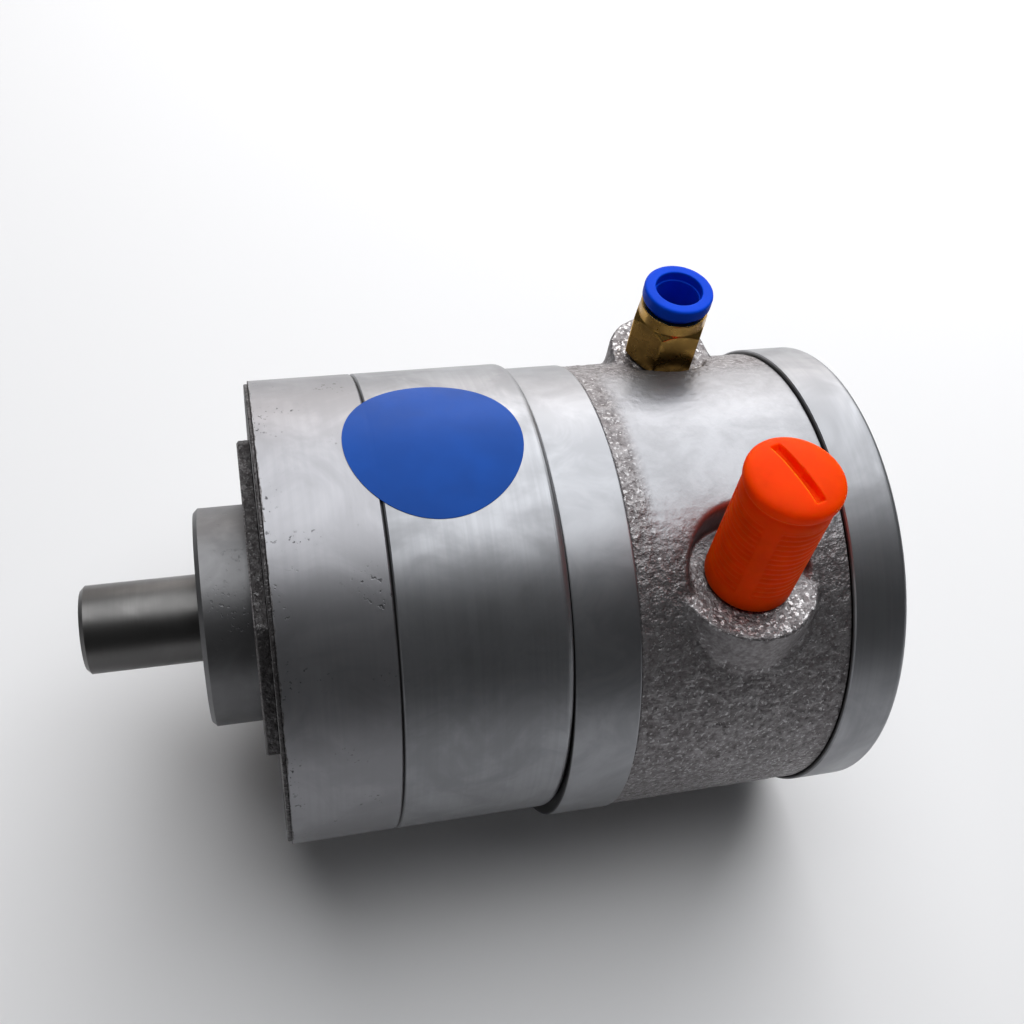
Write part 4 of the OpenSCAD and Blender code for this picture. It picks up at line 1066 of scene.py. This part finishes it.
def node_materials(colours, sizes):
    """One material for each slot that the packed nodes name."""
    gear_ends, cap_front = (GEAR_LOW[0], GEAR_HIGH[0]), (CAP_LOW[0],)
    satin = (colours.satin, SATIN_METAL)
    made = {
        "turned_casting": cover_metal(colours, sizes),
        "satin_turned": turned_metal("satin_turned_finish", *satin, SATIN_ROUGH, joints=gear_ends),
        "rough_casting": casting_metal(colours, "plain_casting_finish", 1.0),
        "turned_cap": turned_metal("turned_cap_finish", *satin, 0.40, blotch_scale=50.0, joints=cap_front),
        "shaft_steel": turned_metal("shaft_steel_finish", colours.steel, 1.0, 0.33, 1300.0, 45.0),
        "fitting_brass": brass_metal(colours),
        "blue_plastic": moulded_blue(colours),
        "orange_plastic": moulded_orange(colours),
        "blue_sticker": sticker_film(colours),
    }
    for slot, look in PLAIN_LOOKS.items():
        made[slot] = plain_stuff(slot + "_finish", *look)
    for slot, look in TURNED_LOOKS.items():
        made[slot] = turned_metal(slot + "_finish", *look)
    return made


def dress_nodes(colours, sizes):
    """Puts the slot's material on every packed node."""
    made = node_materials(colours, sizes)
    for node in frame["nodes"].values():
        slot = node.data.materials[0].name.split(".")[0]
        node.data.materials[0] = made[slot]


# Stage

# Floor: columns, and its outline from below as radius and level in metres
FLOOR_COLUMNS = 96
FLOOR_OUTLINE = ((0.0, -0.02), (3.0, -0.02), (3.0, 0.0), (1.5, 0.0), (0.5, 0.0), (0.0, 0.0))

# Lights: name, place, aim, size along both sides, power in watts and colour
LIGHTS = (
    ("key_light", (0.27, 0.34, 0.76), (0.05, 0.0, 0.0), (0.95, 1.45), 13.0, (0.98, 0.99, 1.0)),
    ("back_light", (0.33, 1.0, 0.32), (0.05, 0.0, 0.0), (1.0, 0.75), 5.4, (1.0, 0.95, 0.92)),
    ("fill_light", (-0.42, -0.30, 0.16), (0.0, -0.02, 0.0), (0.25, 0.25), 0.14, (1.0, 0.98, 0.97)),
)
WORLD_COLOUR = (0.95, 0.97, 1.0, 1.0)
WORLD_STRENGTH = 0.045

# Camera at the picture's view: place in metres, turn in degrees, lens and sensor in millimetres
CAMERA_PLACE = (0.00065, -0.1515, 0.2386)
CAMERA_TURN = (37.22, -6.81, -11.96)
CAMERA_LENS = 41.75
CAMERA_SENSOR = 36.0
CAMERA_NEAR = 0.01


def build_floor(colours):
    """A large pale disc under the part."""
    angle = circle(FLOOR_COLUMNS)
    outline = np.array(FLOOR_OUTLINE)
    shape = about_z(outline[:, :1] + 0.0 * angle, outline[:, 1:] + FLOOR_Z, angle, PORT_X / 2, 0.0)
    floor = surface("floor", shape, False)
    look = Finish("floor_finish")
    cloud = look.noise(3.0, 2.0)
    tone = look.mix(cloud, scaled(colours.floor, 0.99), scaled(colours.floor, 1.01))
    floor.data.materials.append(look.shade(Base_Color=tone, Roughness=0.9, Specular_IOR_Level=0.1))
    floor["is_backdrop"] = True


def area_light(name, place, aim, size, power, colour):
    """A soft rectangular light at a place, turned towards an aim."""
    lamp = bpy.data.lights.new(name, "AREA")
    lamp.shape = "RECTANGLE"
    lamp.size, lamp.size_y = size
    lamp.energy = power
    lamp.color = colour
    holder = bpy.data.objects.new(name, lamp)
    holder.location = place
    holder.visible_camera = False
    way = Vector(aim) - Vector(place)
    holder.rotation_euler = way.to_track_quat("-Z", "Y").to_euler()
    bpy.context.scene.collection.objects.link(holder)


def build_stage(colours):
    """Floor, soft lights, world and the camera at the picture's view."""
    build_floor(colours)
    for light in LIGHTS:
        area_light(*light)
    world = bpy.data.worlds.new("studio")
    world.use_nodes = True
    back = world.node_tree.nodes["Background"]
    back.inputs["Color"].default_value = WORLD_COLOUR
    back.inputs["Strength"].default_value = WORLD_STRENGTH
    scene = bpy.context.scene
    scene.world = world
    scene.view_settings.view_transform = "Standard"
    lens = bpy.data.cameras.new("camera")
    lens.lens = CAMERA_LENS
    lens.sensor_width = CAMERA_SENSOR
    lens.clip_start = CAMERA_NEAR
    camera = bpy.data.objects.new("camera", lens)
    camera.location = CAMERA_PLACE
    camera.rotation_euler = tuple(math.radians(value) for value in CAMERA_TURN)
    scene.collection.objects.link(camera)
    scene.camera = camera


# Operators and panel


class MOTOR_OT_casting(bpy.types.Operator):
    """Builds the cast motor housing with its band, bosses and grain"""

    bl_idname = "motor.casting"
    bl_label = "Motor housing"

    def execute(self, context):
        build_casting(context.scene.motor_casting, context.scene.motor_colours)
        return {"FINISHED"}


class MOTOR_OT_rims(bpy.types.Operator):
    """Builds the rough cast rims of the front cover"""

    bl_idname = "motor.rims"
    bl_label = "Cast rims"

    def execute(self, context):
        build_rims(context.scene.motor_casting, context.scene.motor_colours)
        return {"FINISHED"}


class MOTOR_OT_muffler(bpy.types.Operator):
    """Builds the ribbed muffler with its slotted head"""

    bl_idname = "motor.muffler"
    bl_label = "Muffler"

    def execute(self, context):
        build_muffler(context.scene.motor_muffler, context.scene.motor_colours)
        return {"FINISHED"}


class MOTOR_OT_fitting(bpy.types.Operator):
    """Builds the brass fitting and its release collet"""

    bl_idname = "motor.fitting"
    bl_label = "Push-in fitting"

    def execute(self, context):
        build_fitting(context.scene.motor_fitting, context.scene.motor_colours)
        build_collet(context.scene.motor_fitting, context.scene.motor_colours)
        return {"FINISHED"}


class MOTOR_OT_sticker(bpy.types.Operator):
    """Builds the round sticker"""

    bl_idname = "motor.sticker"
    bl_label = "Sticker"

    def execute(self, context):
        build_sticker(context.scene.motor_sticker, context.scene.motor_colours)
        return {"FINISHED"}


class MOTOR_OT_metal(bpy.types.Operator):
    """Puts a finish on every piece that keeps its packed shape"""

    bl_idname = "motor.metal"
    bl_label = "Metal finishes"

    def execute(self, context):
        dress_nodes(context.scene.motor_colours, context.scene.motor_casting)
        return {"FINISHED"}


class MOTOR_OT_stage(bpy.types.Operator):
    """Builds the floor, the lights and the camera"""

    bl_idname = "motor.stage"
    bl_label = "Stage"

    def execute(self, context):
        build_stage(context.scene.motor_colours)
        return {"FINISHED"}


OPERATORS = (
    MOTOR_OT_stage,
    MOTOR_OT_metal,
    MOTOR_OT_casting,
    MOTOR_OT_rims,
    MOTOR_OT_muffler,
    MOTOR_OT_fitting,
    MOTOR_OT_sticker,
)

GROUPS = {
    "motor_casting": CastingSizes,
    "motor_muffler": MufflerSizes,
    "motor_fitting": FittingSizes,
    "motor_sticker": StickerSizes,
    "motor_colours": MotorColours,
}


class MOTOR_PT_finish(bpy.types.Panel):
    """Sizes, colours and build steps of the motor"""

    bl_idname = "MOTOR_PT_finish"
    bl_label = "Air vane motor"
    bl_space_type = "VIEW_3D"
    bl_region_type = "UI"
    bl_category = "Motor"

    def draw(self, context):
        for operator in OPERATORS:
            self.layout.operator(operator.bl_idname)
        for key, group in GROUPS.items():
            column = self.layout.column(heading=group.__doc__)
            for name in group.__annotations__:
                column.prop(getattr(context.scene, key), name)


CLASSES = (*GROUPS.values(), *OPERATORS, MOTOR_PT_finish)


def register():
    """Adds the classes and the scene's settings."""
    for made in CLASSES:
        bpy.utils.register_class(made)
    for key, group in GROUPS.items():
        setattr(bpy.types.Scene, key, bpy.props.PointerProperty(type=group))


def unregister():
    """Removes what register added."""
    for key in GROUPS:
        delattr(bpy.types.Scene, key)
    for made in reversed(CLASSES):
        bpy.utils.unregister_class(made)


def main():
    """Registers the classes, builds everything and writes both boxes to the size file."""
    register()
    bpy.ops.motor.stage()
    bpy.ops.motor.metal()
    bpy.ops.motor.casting()
    bpy.ops.motor.rims()
    bpy.ops.motor.muffler()
    bpy.ops.motor.fitting()
    bpy.ops.motor.sticker()


if __name__ == "__main__":
    main()
